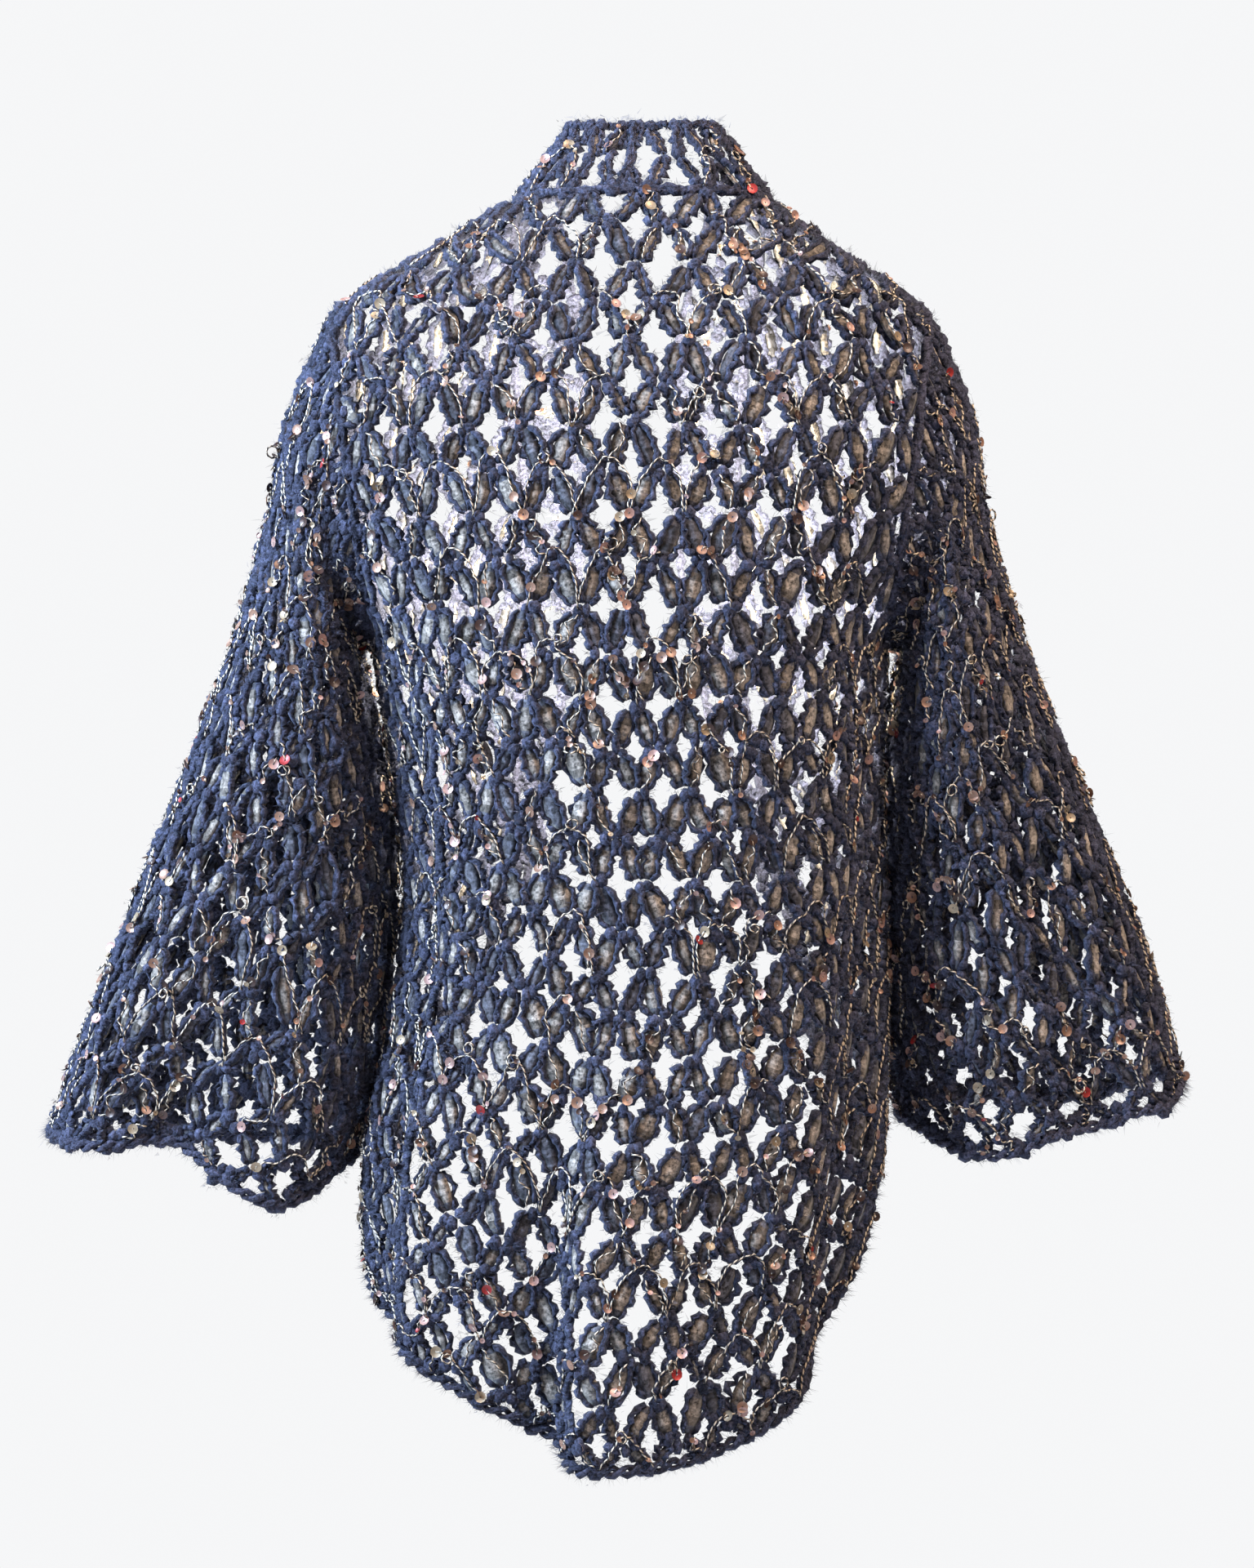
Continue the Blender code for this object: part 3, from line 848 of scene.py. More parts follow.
@dataclass(frozen=True)
class Stamp:
    """A small shape that is modelled once and copied, as points and faces."""

    points: np.ndarray
    faces: tuple[np.ndarray, ...]

    @classmethod
    def from_active(cls) -> "Stamp":
        """Take the shape of the active object and remove the object.

        Returns:
            The shape.
        """
        model = bpy.context.active_object
        points = np.array([vertex.co[:] for vertex in model.data.vertices])
        by_size: dict[int, list[tuple[int, ...]]] = {}
        for face in model.data.polygons:
            by_size.setdefault(len(face.vertices), []).append(tuple(face.vertices))
        bpy.data.objects.remove(model)
        return cls(points, tuple(np.array(group) for group in by_size.values()))

    @classmethod
    def sequin(cls) -> "Stamp":
        """Model a cupped sequin with a thread hole, its hollow side up.

        Returns:
            The shape, of radius 1.
        """
        bpy.ops.object.select_all(action="DESELECT")
        bpy.ops.mesh.primitive_circle_add(vertices=SEQUIN_CORNERS, radius=1.0, fill_type="NGON")
        bpy.ops.object.mode_set(mode="EDIT")
        bpy.ops.mesh.select_all(action="SELECT")
        bpy.ops.mesh.inset(thickness=SEQUIN_RIM)
        bpy.ops.transform.translate(value=(0, 0, -SEQUIN_CUP))
        bpy.ops.mesh.inset(thickness=SEQUIN_FLOOR)
        bpy.ops.transform.translate(value=(0, 0, -SEQUIN_DIMPLE))
        bpy.ops.mesh.delete(type="ONLY_FACE")
        bpy.ops.object.mode_set(mode="OBJECT")
        return cls.from_active()

    @classmethod
    def knot(cls) -> "Stamp":
        """Model an uneven lump of yarn.

        Returns:
            The shape, of half-size 1.
        """
        bpy.ops.object.select_all(action="DESELECT")
        bpy.ops.mesh.primitive_ico_sphere_add(subdivisions=1, radius=1.0)
        bpy.ops.object.mode_set(mode="EDIT")
        bpy.ops.mesh.select_all(action="SELECT")
        bpy.ops.transform.vertex_random(offset=LUMP_UNEVENNESS, seed=LUMP_SEED)
        bpy.ops.object.mode_set(mode="OBJECT")
        return cls.from_active()


class SequinColour(Enum):
    """Colours of the sequins, each with its share."""

    ROSE = ((0.32, 0.185, 0.160), 0.26)
    COPPER = ((0.24, 0.130, 0.090), 0.34)
    GOLD = ((0.26, 0.190, 0.125), 0.15)
    BROWN = ((0.045, 0.022, 0.018), 0.23)
    RED = ((0.27, 0.018, 0.018), 0.02)


@dataclass(frozen=True)
class Dye:
    """Range of colours that a yarn varies in, from deep to pale."""

    deep: Colour
    pale: Colour
    deep_weight: float = 2.0
    pale_weight: float = 2.4

    def pick(self, chance: np.random.Generator, count: int) -> np.ndarray:
        """Colours in the range, one for each thing."""
        mix = chance.beta(self.deep_weight, self.pale_weight, count)[:, None]
        return np.array(self.deep) * (1 - mix) + np.array(self.pale) * mix

    def mottled(self, chance: np.random.Generator, count: int, spans: int) -> np.ndarray:
        """Colours for each span of each thing, half its own and half the span's."""
        own = self.pick(chance, count)[:, None]
        return (own + self.pick(chance, count * spans).reshape(count, spans, 3)) / 2


class FibreGroup:
    """Shared shader group that breaks a fibre's colour and height into fine streaks."""

    NAME = "fibre_streaks"
    INPUTS = (("Tone", "Color"), ("Scale", "Float"), ("Depth", "Float"), ("Peak", "Float"))
    OUTPUTS = (("Colour", "Color"), ("Height", "Float"))
    DETAIL = 3.0
    ROUGHNESS = 0.65
    CONTRAST_LOW = 0.34
    CONTRAST_HIGH = 0.66

    @classmethod
    def tree(cls) -> bpy.types.NodeTree:
        """Build the group at its first use.

        Returns:
            The group.
        """
        found = bpy.data.node_groups.get(cls.NAME)
        if found:
            return found
        tree = bpy.data.node_groups.new(cls.NAME, "ShaderNodeTree")
        for way, sockets in (("INPUT", cls.INPUTS), ("OUTPUT", cls.OUTPUTS)):
            for name, kind in sockets:
                tree.interface.new_socket(name, in_out=way, socket_type=f"NodeSocket{kind}")
        nodes = tree.nodes
        link = tree.links.new
        inside = nodes.new("NodeGroupInput")
        outside = nodes.new("NodeGroupOutput")
        place = nodes.new("ShaderNodeTexCoord")
        streak = nodes.new("ShaderNodeTexNoise")
        streak.inputs["Detail"].default_value = cls.DETAIL
        streak.inputs["Roughness"].default_value = cls.ROUGHNESS
        link(place.outputs["Object"], streak.inputs["Vector"])
        link(inside.outputs["Scale"], streak.inputs["Scale"])
        spread = nodes.new("ShaderNodeMapRange")
        spread.inputs["From Min"].default_value = cls.CONTRAST_LOW
        spread.inputs["From Max"].default_value = cls.CONTRAST_HIGH
        link(streak.outputs["Fac"], spread.inputs["Value"])
        link(inside.outputs["Depth"], spread.inputs["To Min"])
        link(inside.outputs["Peak"], spread.inputs["To Max"])
        dyed = nodes.new("ShaderNodeMix")
        dyed.data_type = "RGBA"
        dyed.blend_type = "MULTIPLY"
        dyed.inputs["Factor"].default_value = 1.0
        link(inside.outputs["Tone"], dyed.inputs["A"])
        link(spread.outputs["Result"], dyed.inputs["B"])
        link(dyed.outputs["Result"], outside.inputs["Colour"])
        link(streak.outputs["Fac"], outside.inputs["Height"])
        return tree


@dataclass(frozen=True)
class Finish:
    """A finish that becomes a material, with shader nodes of its own."""

    name: str

    def material(self) -> bpy.types.Material:
        """Make the finish's material at its first use.

        Returns:
            The material.
        """
        found = bpy.data.materials.get(self.name)
        if found:
            return found
        material = bpy.data.materials.new(self.name)
        material.use_nodes = True
        self.dress(material.node_tree)
        return material

    def dress(self, tree: bpy.types.NodeTree) -> None:
        """Set up the finish's own shader nodes.

        Args:
            tree: Nodes of the material.
        """
        raise NotImplementedError

    def streaks(self, tree: bpy.types.NodeTree, scale: float, depth: float, peak: float) -> bpy.types.Node:
        """Break the piece's own tone into streaks.

        Args:
            tree: Nodes of the material.
            scale: Fineness of the streaks.
            depth: Share of the tone in the darkest ones.
            peak: Share of the tone in the palest ones.

        Returns:
            Node with the streaks' colour and height.
        """
        tone = tree.nodes.new("ShaderNodeAttribute")
        tone.attribute_name = TONE
        node = tree.nodes.new("ShaderNodeGroup")
        node.node_tree = FibreGroup.tree()
        node.inputs["Scale"].default_value = scale
        node.inputs["Depth"].default_value = depth
        node.inputs["Peak"].default_value = peak
        tree.links.new(tone.outputs["Color"], node.inputs["Tone"])
        return node

    def emboss(self, tree: bpy.types.NodeTree, height: bpy.types.NodeSocket, distance: float) -> None:
        """Give the surface a fine relief.

        Args:
            tree: Nodes of the material.
            height: Socket with the relief's height.
            distance: Height of the whole relief.
        """
        relief = tree.nodes.new("ShaderNodeBump")
        relief.inputs["Distance"].default_value = distance
        tree.links.new(height, relief.inputs["Height"])
        tree.links.new(relief.outputs["Normal"], tree.nodes["Principled BSDF"].inputs["Normal"])


@dataclass(frozen=True)
class FibreFinish(Finish):
    """Dyed fibre whose colour comes from the piece's tone and is broken into streaks."""

    scale: float
    depth: float
    roughness: float
    sheen: float
    sheen_colour: Colour
    bump: float
    peak: float = 1.35
    cover: float = 1.0
    specular: float = 0.15
    sheen_roughness: float = 0.5

    def dress(self, tree: bpy.types.NodeTree) -> None:
        """Set up streaks, sheen and cover.

        Args:
            tree: Nodes of the material.
        """
        shader = tree.nodes["Principled BSDF"]
        streaks = self.streaks(tree, self.scale, self.depth, self.peak)
        tree.links.new(streaks.outputs["Colour"], shader.inputs["Base Color"])
        self.emboss(tree, streaks.outputs["Height"], self.bump)
        shader.inputs["Roughness"].default_value = self.roughness
        shader.inputs["Specular IOR Level"].default_value = self.specular
        shader.inputs["Sheen Weight"].default_value = self.sheen
        shader.inputs["Sheen Roughness"].default_value = self.sheen_roughness
        shader.inputs["Sheen Tint"].default_value = (*self.sheen_colour, 1.0)
        shader.inputs["Alpha"].default_value = self.cover


@dataclass(frozen=True)
class TwistFinish(Finish):
    """Thread of two twisted plies, one dark and one beige, striped by its own UV map."""

    name: str = "twist_thread"
    dark: Colour = (0.014, 0.012, 0.013)
    turn_length: float = 0.0042
    roughness: float = 0.45
    dark_edge: float = 0.18
    beige_edge: float = 0.26
    scale: float = 1400.0
    depth: float = 0.7
    peak: float = 1.3
    bump: float = 0.0004

    def dress(self, tree: bpy.types.NodeTree) -> None:
        """Set up the stripe, the beige ply's streaks and the relief of the plies.

        Args:
            tree: Nodes of the material.
        """
        nodes = tree.nodes
        link = tree.links.new
        shader = nodes["Principled BSDF"]
        place = nodes.new("ShaderNodeUVMap")
        place.uv_map = UV_MAP
        parts = nodes.new("ShaderNodeSeparateXYZ")
        link(place.outputs["UV"], parts.inputs["Vector"])
        turns = nodes.new("ShaderNodeMath")
        turns.operation = "MULTIPLY_ADD"
        turns.inputs[1].default_value = 1 / self.turn_length
        link(parts.outputs["X"], turns.inputs[0])
        link(parts.outputs["Y"], turns.inputs[2])
        ply = nodes.new("ShaderNodeMath")
        ply.operation = "PINGPONG"
        ply.inputs[1].default_value = 0.5
        link(turns.outputs["Value"], ply.inputs[0])
        edge = nodes.new("ShaderNodeMapRange")
        edge.inputs["From Min"].default_value = self.dark_edge
        edge.inputs["From Max"].default_value = self.beige_edge
        link(ply.outputs["Value"], edge.inputs["Value"])
        streaks = self.streaks(tree, self.scale, self.depth, self.peak)
        plies = nodes.new("ShaderNodeMix")
        plies.data_type = "RGBA"
        plies.inputs["A"].default_value = (*self.dark, 1.0)
        link(edge.outputs["Result"], plies.inputs["Factor"])
        link(streaks.outputs["Colour"], plies.inputs["B"])
        link(plies.outputs["Result"], shader.inputs["Base Color"])
        self.emboss(tree, ply.outputs["Value"], self.bump)
        shader.inputs["Roughness"].default_value = self.roughness


@dataclass(frozen=True)
class SequinFinish(Finish):
    """Satin metallic film in the sequin's own colour, with light scratches."""

    name: str = "sequin_film"
    smooth: float = 0.34
    scratched: float = 0.56
    metallic: float = 0.35
    coat: float = 0.1
    coat_roughness: float = 0.2
    scale: float = 420.0
    depth: float = 0.8
    peak: float = 1.2

    def dress(self, tree: bpy.types.NodeTree) -> None:
        """Set up the film's colour, scratches and coat.

        Args:
            tree: Nodes of the material.
        """
        shader = tree.nodes["Principled BSDF"]
        link = tree.links.new
        streaks = self.streaks(tree, self.scale, self.depth, self.peak)
        link(streaks.outputs["Colour"], shader.inputs["Base Color"])
        polish = tree.nodes.new("ShaderNodeMapRange")
        polish.inputs["To Min"].default_value = self.smooth
        polish.inputs["To Max"].default_value = self.scratched
        link(streaks.outputs["Height"], polish.inputs["Value"])
        link(polish.outputs["Result"], shader.inputs["Roughness"])
        shader.inputs["Metallic"].default_value = self.metallic
        shader.inputs["Coat Weight"].default_value = self.coat
        shader.inputs["Coat Roughness"].default_value = self.coat_roughness


YARN = FibreFinish(
    "navy_mohair",
    scale=520.0,
    depth=0.15,
    roughness=0.9,
    sheen=0.12,
    sheen_colour=(0.50, 0.58, 0.85),
    bump=0.0016,
    peak=2.1,
)
EDGE_YARN = replace(YARN, name="edge_mohair", sheen_colour=(0.45, 0.52, 0.75))
FUZZ = FibreFinish(
    "mohair_fuzz",
    scale=300.0,
    depth=0.8,
    roughness=0.8,
    sheen=0.12,
    sheen_colour=(0.55, 0.62, 0.85),
    bump=0.0001,
    cover=0.50,
)
WISPS = replace(FUZZ, name="mohair_wisps", cover=0.24)
FILL = FibreFinish(
    "greige_filling",
    scale=420.0,
    depth=0.15,
    roughness=0.75,
    sheen=0.2,
    sheen_colour=(0.8, 0.75, 0.7),
    bump=0.0006,
    peak=1.7,
)
THREAD = TwistFinish()
FILM = SequinFinish()

NAVY = Dye((0.0105, 0.0108, 0.0190), (0.051, 0.053, 0.089))
EDGE_NAVY = Dye((0.012, 0.0120, 0.020), (0.052, 0.052, 0.085))
HAZE = Dye((0.014, 0.0142, 0.024), (0.115, 0.115, 0.165))
GREIGE = Dye((0.150, 0.125, 0.110), (0.370, 0.315, 0.280))
VEILED = Dye((0.040, 0.040, 0.054), (0.125, 0.122, 0.148))
BEIGE = Dye((0.380, 0.295, 0.225), (0.640, 0.535, 0.420))


@dataclass(frozen=True)
class LoopCut:
    """Sizes that the mesh's loops share, how far single loops stray from them, and the painted highlight and
    shade on their beads.
    """

    steps: int = 10
    sides: int = 3
    end_share: float = 0.42
    leaf_power: float = 0.7
    usual_length: float = 0.021
    narrowest: float = 0.35
    widest: float = 1.2
    width_spread: float = 0.13
    bow_spread: float = 0.0009
    tilt_spread: float = 0.0012
    sway_spread: float = 0.0008
    rise_spread: float = 0.0004
    radius_spread: float = 0.18
    bead_steps: int = 3
    dip: float = -1.0
    bulge: float = 0.6
    bead_sway: float = 0.0006
    bead_share: float = 0.26
    # Painted light on the beads: the tone's share on the bulges is a painted highlight, and on the dips it is
    # painted shade.
    painted_highlight_share: float = 1.2
    painted_shade_share: float = 0.8
    fuzz_lean: float = 0.5

    def leaf(self, share: np.ndarray) -> np.ndarray:
        """Share of a loop's width at places along it, least at its ends."""
        return self.end_share + (1 - self.end_share) * np.sin(pi * share) ** self.leaf_power

    def beads(self) -> np.ndarray:
        """Dips and bulges of the yarn at the steps along a loop."""
        return np.where(np.arange(self.steps) % self.bead_steps == 0, self.dip, self.bulge)

    def painted_bead_light(self) -> np.ndarray:
        """Share of the tone on each span along a loop: a painted highlight on the bulges and painted shade in
        the dips.
        """
        on_bulge = np.arange(self.steps - 1) % self.bead_steps == 1
        return np.where(on_bulge, self.painted_highlight_share, self.painted_shade_share)[:, None]


@dataclass(frozen=True)
class FillingCut:
    """Sizes of the thin insides of the loops, and the share of them that navy hairs veil."""

    steps: int = 6
    sides: int = 3
    width_share: float = 1.1
    half_thickness: float = 0.0007
    veiled_share: float = 0.28
    dimmest: float = 0.35
    brightest: float = 0.9


@dataclass(frozen=True)
class KnotCut:
    """Half-sizes of a knot's lumps, and how far across and down they lie from its middle."""

    half_sizes: tuple[float, float, float] = (0.0046, 0.0048, 0.0031)
    heavy_reach: tuple[float, float] = (0.0066, 0.0034)
    light_reach: tuple[float, float] = (0.0038, 0.0020)
    light_lumps: int = 2
    turn_spread: float = 0.3
    size_spread: float = 0.16
    place_below: float = 0.01
    fuzz_spots: int = 5
    fuzz_reach: float = 0.9


@dataclass(frozen=True)
class SeamCut:
    """Sizes of the strands along a seam."""

    strands: int = 2
    radius: float = 0.0024
    step: float = 0.0040
    sway_spread: float = 0.0009
    radius_spread: float = 0.2
    last_place: float = 0.9999


@dataclass(frozen=True)
class ThreadCut:
    """Sizes of the twisted thread and of its arches, some of which are halves, and how it wanders."""

    radius: float = 0.00068
    sides: int = 3
    lift: float = 0.0031
    lift_more: float = 0.0002
    lift_spread: float = 0.0004
    arch_steps: int = 17
    stray_steps: int = 10
    half_share: float = 0.22
    half_overlap: float = 0.15
    fewest_waves: float = 0.5
    most_waves: float = 2.2
    least_swing: float = 0.0008
    most_swing: float = 0.0034
    swing_spread: float = 0.0006


@dataclass(frozen=True)
class CurlCut:
    """Sizes of the thread's loose rings, and the share of arches that have one."""

    share: float = 0.30
    radius: float = 0.0033
    radius_spread: float = 0.18
    largest: float = 1.4
    steps: int = 9
    flatness: float = 0.8
    lift: float = 0.0042
    overhang: float = 0.8
    tilt_spread: float = 0.35


@dataclass(frozen=True)
class SequinCut:
    """The two sizes of sequins, how many there are and how they lie."""

    per_loop: float = 0.78
    large_radius: float = 0.0032
    small_radius: float = 0.0017
    large_share: float = 0.48
    size_spread: float = 0.06
    tilt_spread: float = 0.42
    lift: float = 0.0012
    dimmest: float = 0.75
    brightest: float = 1.15


class HairRow(NamedTuple):
    """A kind of mohair hair: its count to a loop, its sizes, its lean off the yarn and where it starts."""

    per_loop: int
    width: float
    shortest: float
    longest: float
    lean: float
    spread: float
    start_share: float
    start_spread: float


LOOP = LoopCut()
FILLING = FillingCut()
KNOT = KnotCut()
SEAM = SeamCut()
TWIST = ThreadCut()
CURL = CurlCut()
SEQUIN = SequinCut()
HAIRS = (
    HairRow(80, 0.0008, 0.0015, 0.0046, 0.35, 0.8, 0.6, 0.0010),
    HairRow(42, 0.0022, 0.0030, 0.0075, 0.30, 0.9, 0.0, 0.0018),
)

# Small shifts of the knots, in shares of a diamond's width and of a half-row's height.
KNOT_SHIFT_ACROSS = 0.03
KNOT_SHIFT_DOWN = 0.06
SPARE_KNOTS = 4
LEAST_LOOP_SHARE = 0.3


def varied(
    chance: np.random.Generator,
    spread: float,
    shape: int | tuple[int, ...],
    least: float = 0.6,
    most: float = 1.5,
) -> np.ndarray:
    """Random shares near 1.

    Args:
        chance: Source of the shares.
        spread: Their standard deviation.
        shape: How many there are.
        least: Smallest share.
        most: Largest share.

    Returns:
        The shares.
    """
    return chance.normal(1.0, spread, shape).clip(least, most)


class MeshPlan(NamedTuple):
    """Places on a cloth of a mesh's loops and knots, and of the knots that the thread arches over."""

    start: np.ndarray
    end: np.ndarray
    knots: np.ndarray
    heavy: np.ndarray
    arches: np.ndarray


def knot_levels(cloth: Cloth, rows: tuple[MeshRow, ...], anchor: float, closing: float) -> np.ndarray:
    """Places down a cloth of its rows of knots.

    Args:
        cloth: The cloth.
        rows: Sizes of the diamonds down the cloth.
        anchor: Place across where the rows are measured.
        closing: Height of the last half-row as a share of the others, or 0 where it is the same.

    Returns:
        Places from 0 to 1.
    """
    down = cloth.down_length(anchor)
    levels = [0.0]
    while levels[-1] < 1.0:
        levels.append(levels[-1] + float(eased(rows, "height", np.array(levels[-1]))) / 2 / down)
    if closing:
        levels[-1] = levels[-2] + closing * (levels[-1] - levels[-2])
    elif levels[-1] - 1.0 > 1.0 - levels[-2]:
        levels.pop()
    return np.array(levels) / levels[-1]


def plan_mesh(
    cloth: Cloth,
    rows: tuple[MeshRow, ...],
    anchor: float,
    columns: int,
    closing: float,
    chance: np.random.Generator,
) -> MeshPlan:
    """Lay a diamond mesh out on a cloth, its rows of knots heavy and light by turns.

    Args:
        cloth: The cloth.
        rows: Sizes of the diamonds down the cloth.
        anchor: Place across where a column of knots runs.
        columns: Diamonds round a tube, or 0 where the table's width counts.
        closing: Height of the last half-row as a share of the others, or 0 where it is the same.
        chance: Source of the knots' small shifts.

    Returns:
        The loops and knots that lie on the cloth.
    """
    heights = knot_levels(cloth, rows, anchor, closing)
    if columns:
        steps = np.full(len(heights), 1 / columns)
        reach = 2 * columns
    else:
        steps = np.array([float(eased(rows, "width", np.array(v))) / cloth.across_length(v) for v in heights])
        reach = 2 * int(1 / steps.min()) + SPARE_KNOTS
    half = np.arange(-reach, reach + 1)
    shift_u = chance.normal(0.0, KNOT_SHIFT_ACROSS, (len(heights), len(half)))
    shift_v = chance.normal(0.0, KNOT_SHIFT_DOWN, (len(heights), len(half)))
    if columns:
        shift_u = shift_u[:, np.mod(half, reach)]
        shift_v = shift_v[:, np.mod(half, reach)]
    shift_v[[0, -1]] = 0.0
    at_u = anchor + (half / 2 + shift_u) * steps[:, None]
    at_v = heights[:, None] + shift_v * np.gradient(heights)[:, None]
    at = np.stack((at_u, at_v), axis=-1)
    start, end, knots, heavy, arches = [], [], [], [], []
    for level in range(len(heights)):
        own = np.flatnonzero(np.mod(half, 2) == level % 2)
        if columns:
            own = own[(half[own] >= 0) & (half[own] < reach)]
        own = own[(own > 0) & (own < len(half) - 1)]
        is_heavy = level % 2 == 1
        knots.append(at[level, own])
        heavy.append(np.full(len(own), is_heavy))
        if level + 1 == len(heights):
            break
        pitch = heights[level + 1] - heights[level]
        upper, lower = (HEAVY_SPREAD, LIGHT_SPREAD) if is_heavy else (LIGHT_SPREAD, HEAVY_SPREAD)
        for step in (-1, 1):
            start.append(at[level, own] + (step * upper.across * steps[level], upper.down * pitch))
            below = at[level + 1, own + step]
            end.append(below - (step * lower.across * steps[level + 1], lower.down * pitch))
        if is_heavy:
            arches.append(np.stack((at[level + 1, own - 1], at[level, own], at[level + 1, own + 1]), axis=1))
    plan = MeshPlan(*(np.concatenate(part) for part in (start, end, knots, heavy, arches)))
    return plan if columns else trim_mesh(plan)


def trim_mesh(plan: MeshPlan) -> MeshPlan:
    """Cut a mesh off at the side edges of its cloth, and leave out loops that are nearly all outside.

    Args:
        plan: The mesh as it was laid out.

    Returns:
        The mesh that lies on the cloth.
    """
    first, last = plan.start.copy(), plan.end.copy()
    reach = last - first
    safe = np.where(np.abs(reach[:, 0]) < LEAST_SPAN, LEAST_SPAN, reach[:, 0])
    to_low = (0.0 - first[:, 0]) / safe
    to_high = (1.0 - first[:, 0]) / safe
    enter = np.clip(np.minimum(to_low, to_high), 0.0, 1.0)
    leave = np.clip(np.maximum(to_low, to_high), 0.0, 1.0)
    kept = leave - enter > LEAST_LOOP_SHARE
    start = first + reach * enter[:, None]
    end = first + reach * leave[:, None]
    inside = (plan.knots[:, 0] > 0.0) & (plan.knots[:, 0] < 1.0)
    whole = np.all((plan.arches[..., 0] > 0.0) & (plan.arches[..., 0] < 1.0), axis=1)
    return MeshPlan(start[kept], end[kept], plan.knots[inside], plan.heavy[inside], plan.arches[whole])


@dataclass
class MeshPanel:
    """One cut piece of open mesh: its knotted loops, and the thread, sequins and fuzz on them."""

    node: str
    cloth: Cloth
    rows: tuple[MeshRow, ...]
    borders: tuple[Border, ...]
    seed: int
    rests_on: tuple[str, ...]
    anchor: float = 0.5
    columns: int = 0
    closing: float = 0.6
    loop_radius: float = 0.0024
    loop_half_width: float = 0.0036
    top_share: float = 1.0
    full_place: float = 0.45
    heavy_lumps: int = 4
    arch_share: float = 0.74
    stray_share: float = 0.26
    plan: MeshPlan = field(init=False)
    chance: np.random.Generator = field(init=False)
    spots: list[np.ndarray] = field(default_factory=list)
    away: list[np.ndarray] = field(default_factory=list)

    def __post_init__(self) -> None:
        """Lay the mesh out."""
        self.chance = np.random.default_rng(self.seed)
        self.plan = plan_mesh(self.cloth, self.rows, self.anchor, self.columns, self.closing, self.chance)

    def grown(self, place: np.ndarray) -> np.ndarray:
        """Share of the full size that loops and knots have at places down the piece."""
        return self.top_share + (1 - self.top_share) * ramp(place, 0.0, self.full_place)

    def loop_routes(self, steps: int) -> tuple[np.ndarray, np.ndarray, np.ndarray, np.ndarray]:
        """Middle lines of the loops.

        Args:
            steps: Points on each line.

        Returns:
            Points, outward and sideways directions of the lines, and their shares from 0 to 1.
        """
        share = np.linspace(0, 1, steps)
        route = self.plan.start[:, None] + (self.plan.end - self.plan.start)[:, None] * share[:, None]
        points, outward = self.cloth.places(route[..., 0], route[..., 1])
        along = unit(np.gradient(points, axis=1))
        return points, outward, unit(np.cross(outward, along)), share

    def build_loops(self) -> tuple[bpy.types.Object, bpy.types.Object]:
        """Make the two lumpy outlines of every loop, and the thin fillings between them.

        Returns:
            The outlines as one piece, and the fillings as another.
        """
        batch = MeshBatch()
        chance = self.chance
        points, outward, beside, share = self.loop_routes(LOOP.steps)
        count = len(points)
        size = np.linalg.norm(points[:, -1] - points[:, 0], axis=1) / LOOP.usual_length
        grown = self.grown((self.plan.start[:, 1] + self.plan.end[:, 1]) / 2)
        half = self.loop_half_width * grown * np.clip(size, LOOP.narrowest, LOOP.widest)
        half = half * chance.normal(1.0, LOOP.width_spread, count)
        leaf = LOOP.leaf(share)
        bow = (chance.normal(0.0, LOOP.bow_spread, count)[:, None] * np.sin(pi * share))[..., None]
        tilt = chance.normal(0.0, LOOP.tilt_spread, count)[:, None]
        beads = LOOP.beads()
        for turn in (1, -1):
            sway = chance.normal(0.0, LOOP.sway_spread, points.shape[:2]) + LOOP.bead_sway * beads
            sideways = turn * (half[:, None] * leaf + sway * leaf)
            rise = turn * tilt * leaf + chance.normal(0.0, LOOP.rise_spread, points.shape[:2])
            centres = points + beside * (sideways[..., None] + bow) + outward * rise[..., None]
            lumps = 1.0 + LOOP.bead_share * beads
            radii = self.loop_radius * lumps * varied(chance, LOOP.radius_spread, points.shape[:2])
            radii /= np.sqrt(grown)[:, None]
            # The tone carries painted highlights on the yarn's bulges and painted shade in its dips.
            tone = NAVY.mottled(chance, count, LOOP.steps - 1) * LOOP.painted_bead_light()
            batch.add_tubes(centres, outward, radii, LOOP.sides, tone)
            self.spots.append(centres.reshape(-1, 3))
            self.away.append((outward * LOOP.fuzz_lean + turn * beside).reshape(-1, 3))
        mesh = batch.to_object(f"{self.node}_mesh", [YARN.material()])
        return mesh, self.build_filling(half)

    def build_filling(self, half: np.ndarray) -> bpy.types.Object:
        """The thin greige insides of the loops, some of them veiled in navy.

        Args:
            half: Half-width of each loop.

        Returns:
            The piece.
        """
        batch = MeshBatch()
        chance = self.chance
        points, outward, _, share = self.loop_routes(FILLING.steps)
        count = len(points)
        widths = half[:, None] * LOOP.leaf(share) * FILLING.width_share
        thin = np.full_like(widths, FILLING.half_thickness)
        spans = FILLING.steps - 1
        veiled = chance.random((count, 1, 1)) < FILLING.veiled_share
        tone = np.where(veiled, VEILED.mottled(chance, count, spans), GREIGE.mottled(chance, count, spans))
        tone[:, [0, -1]] = VEILED.mottled(chance, count, 2)
        tone[:, [1, -2]] *= chance.uniform(FILLING.dimmest, FILLING.brightest, (count, 2, 1))
        tone *= self.grown(self.plan.start[:, 1])[:, None, None]
        batch.add_tubes(points, outward, thin, FILLING.sides, tone, widths=widths)
        return batch.to_object(f"{self.node}_filling", [FILL.material()])

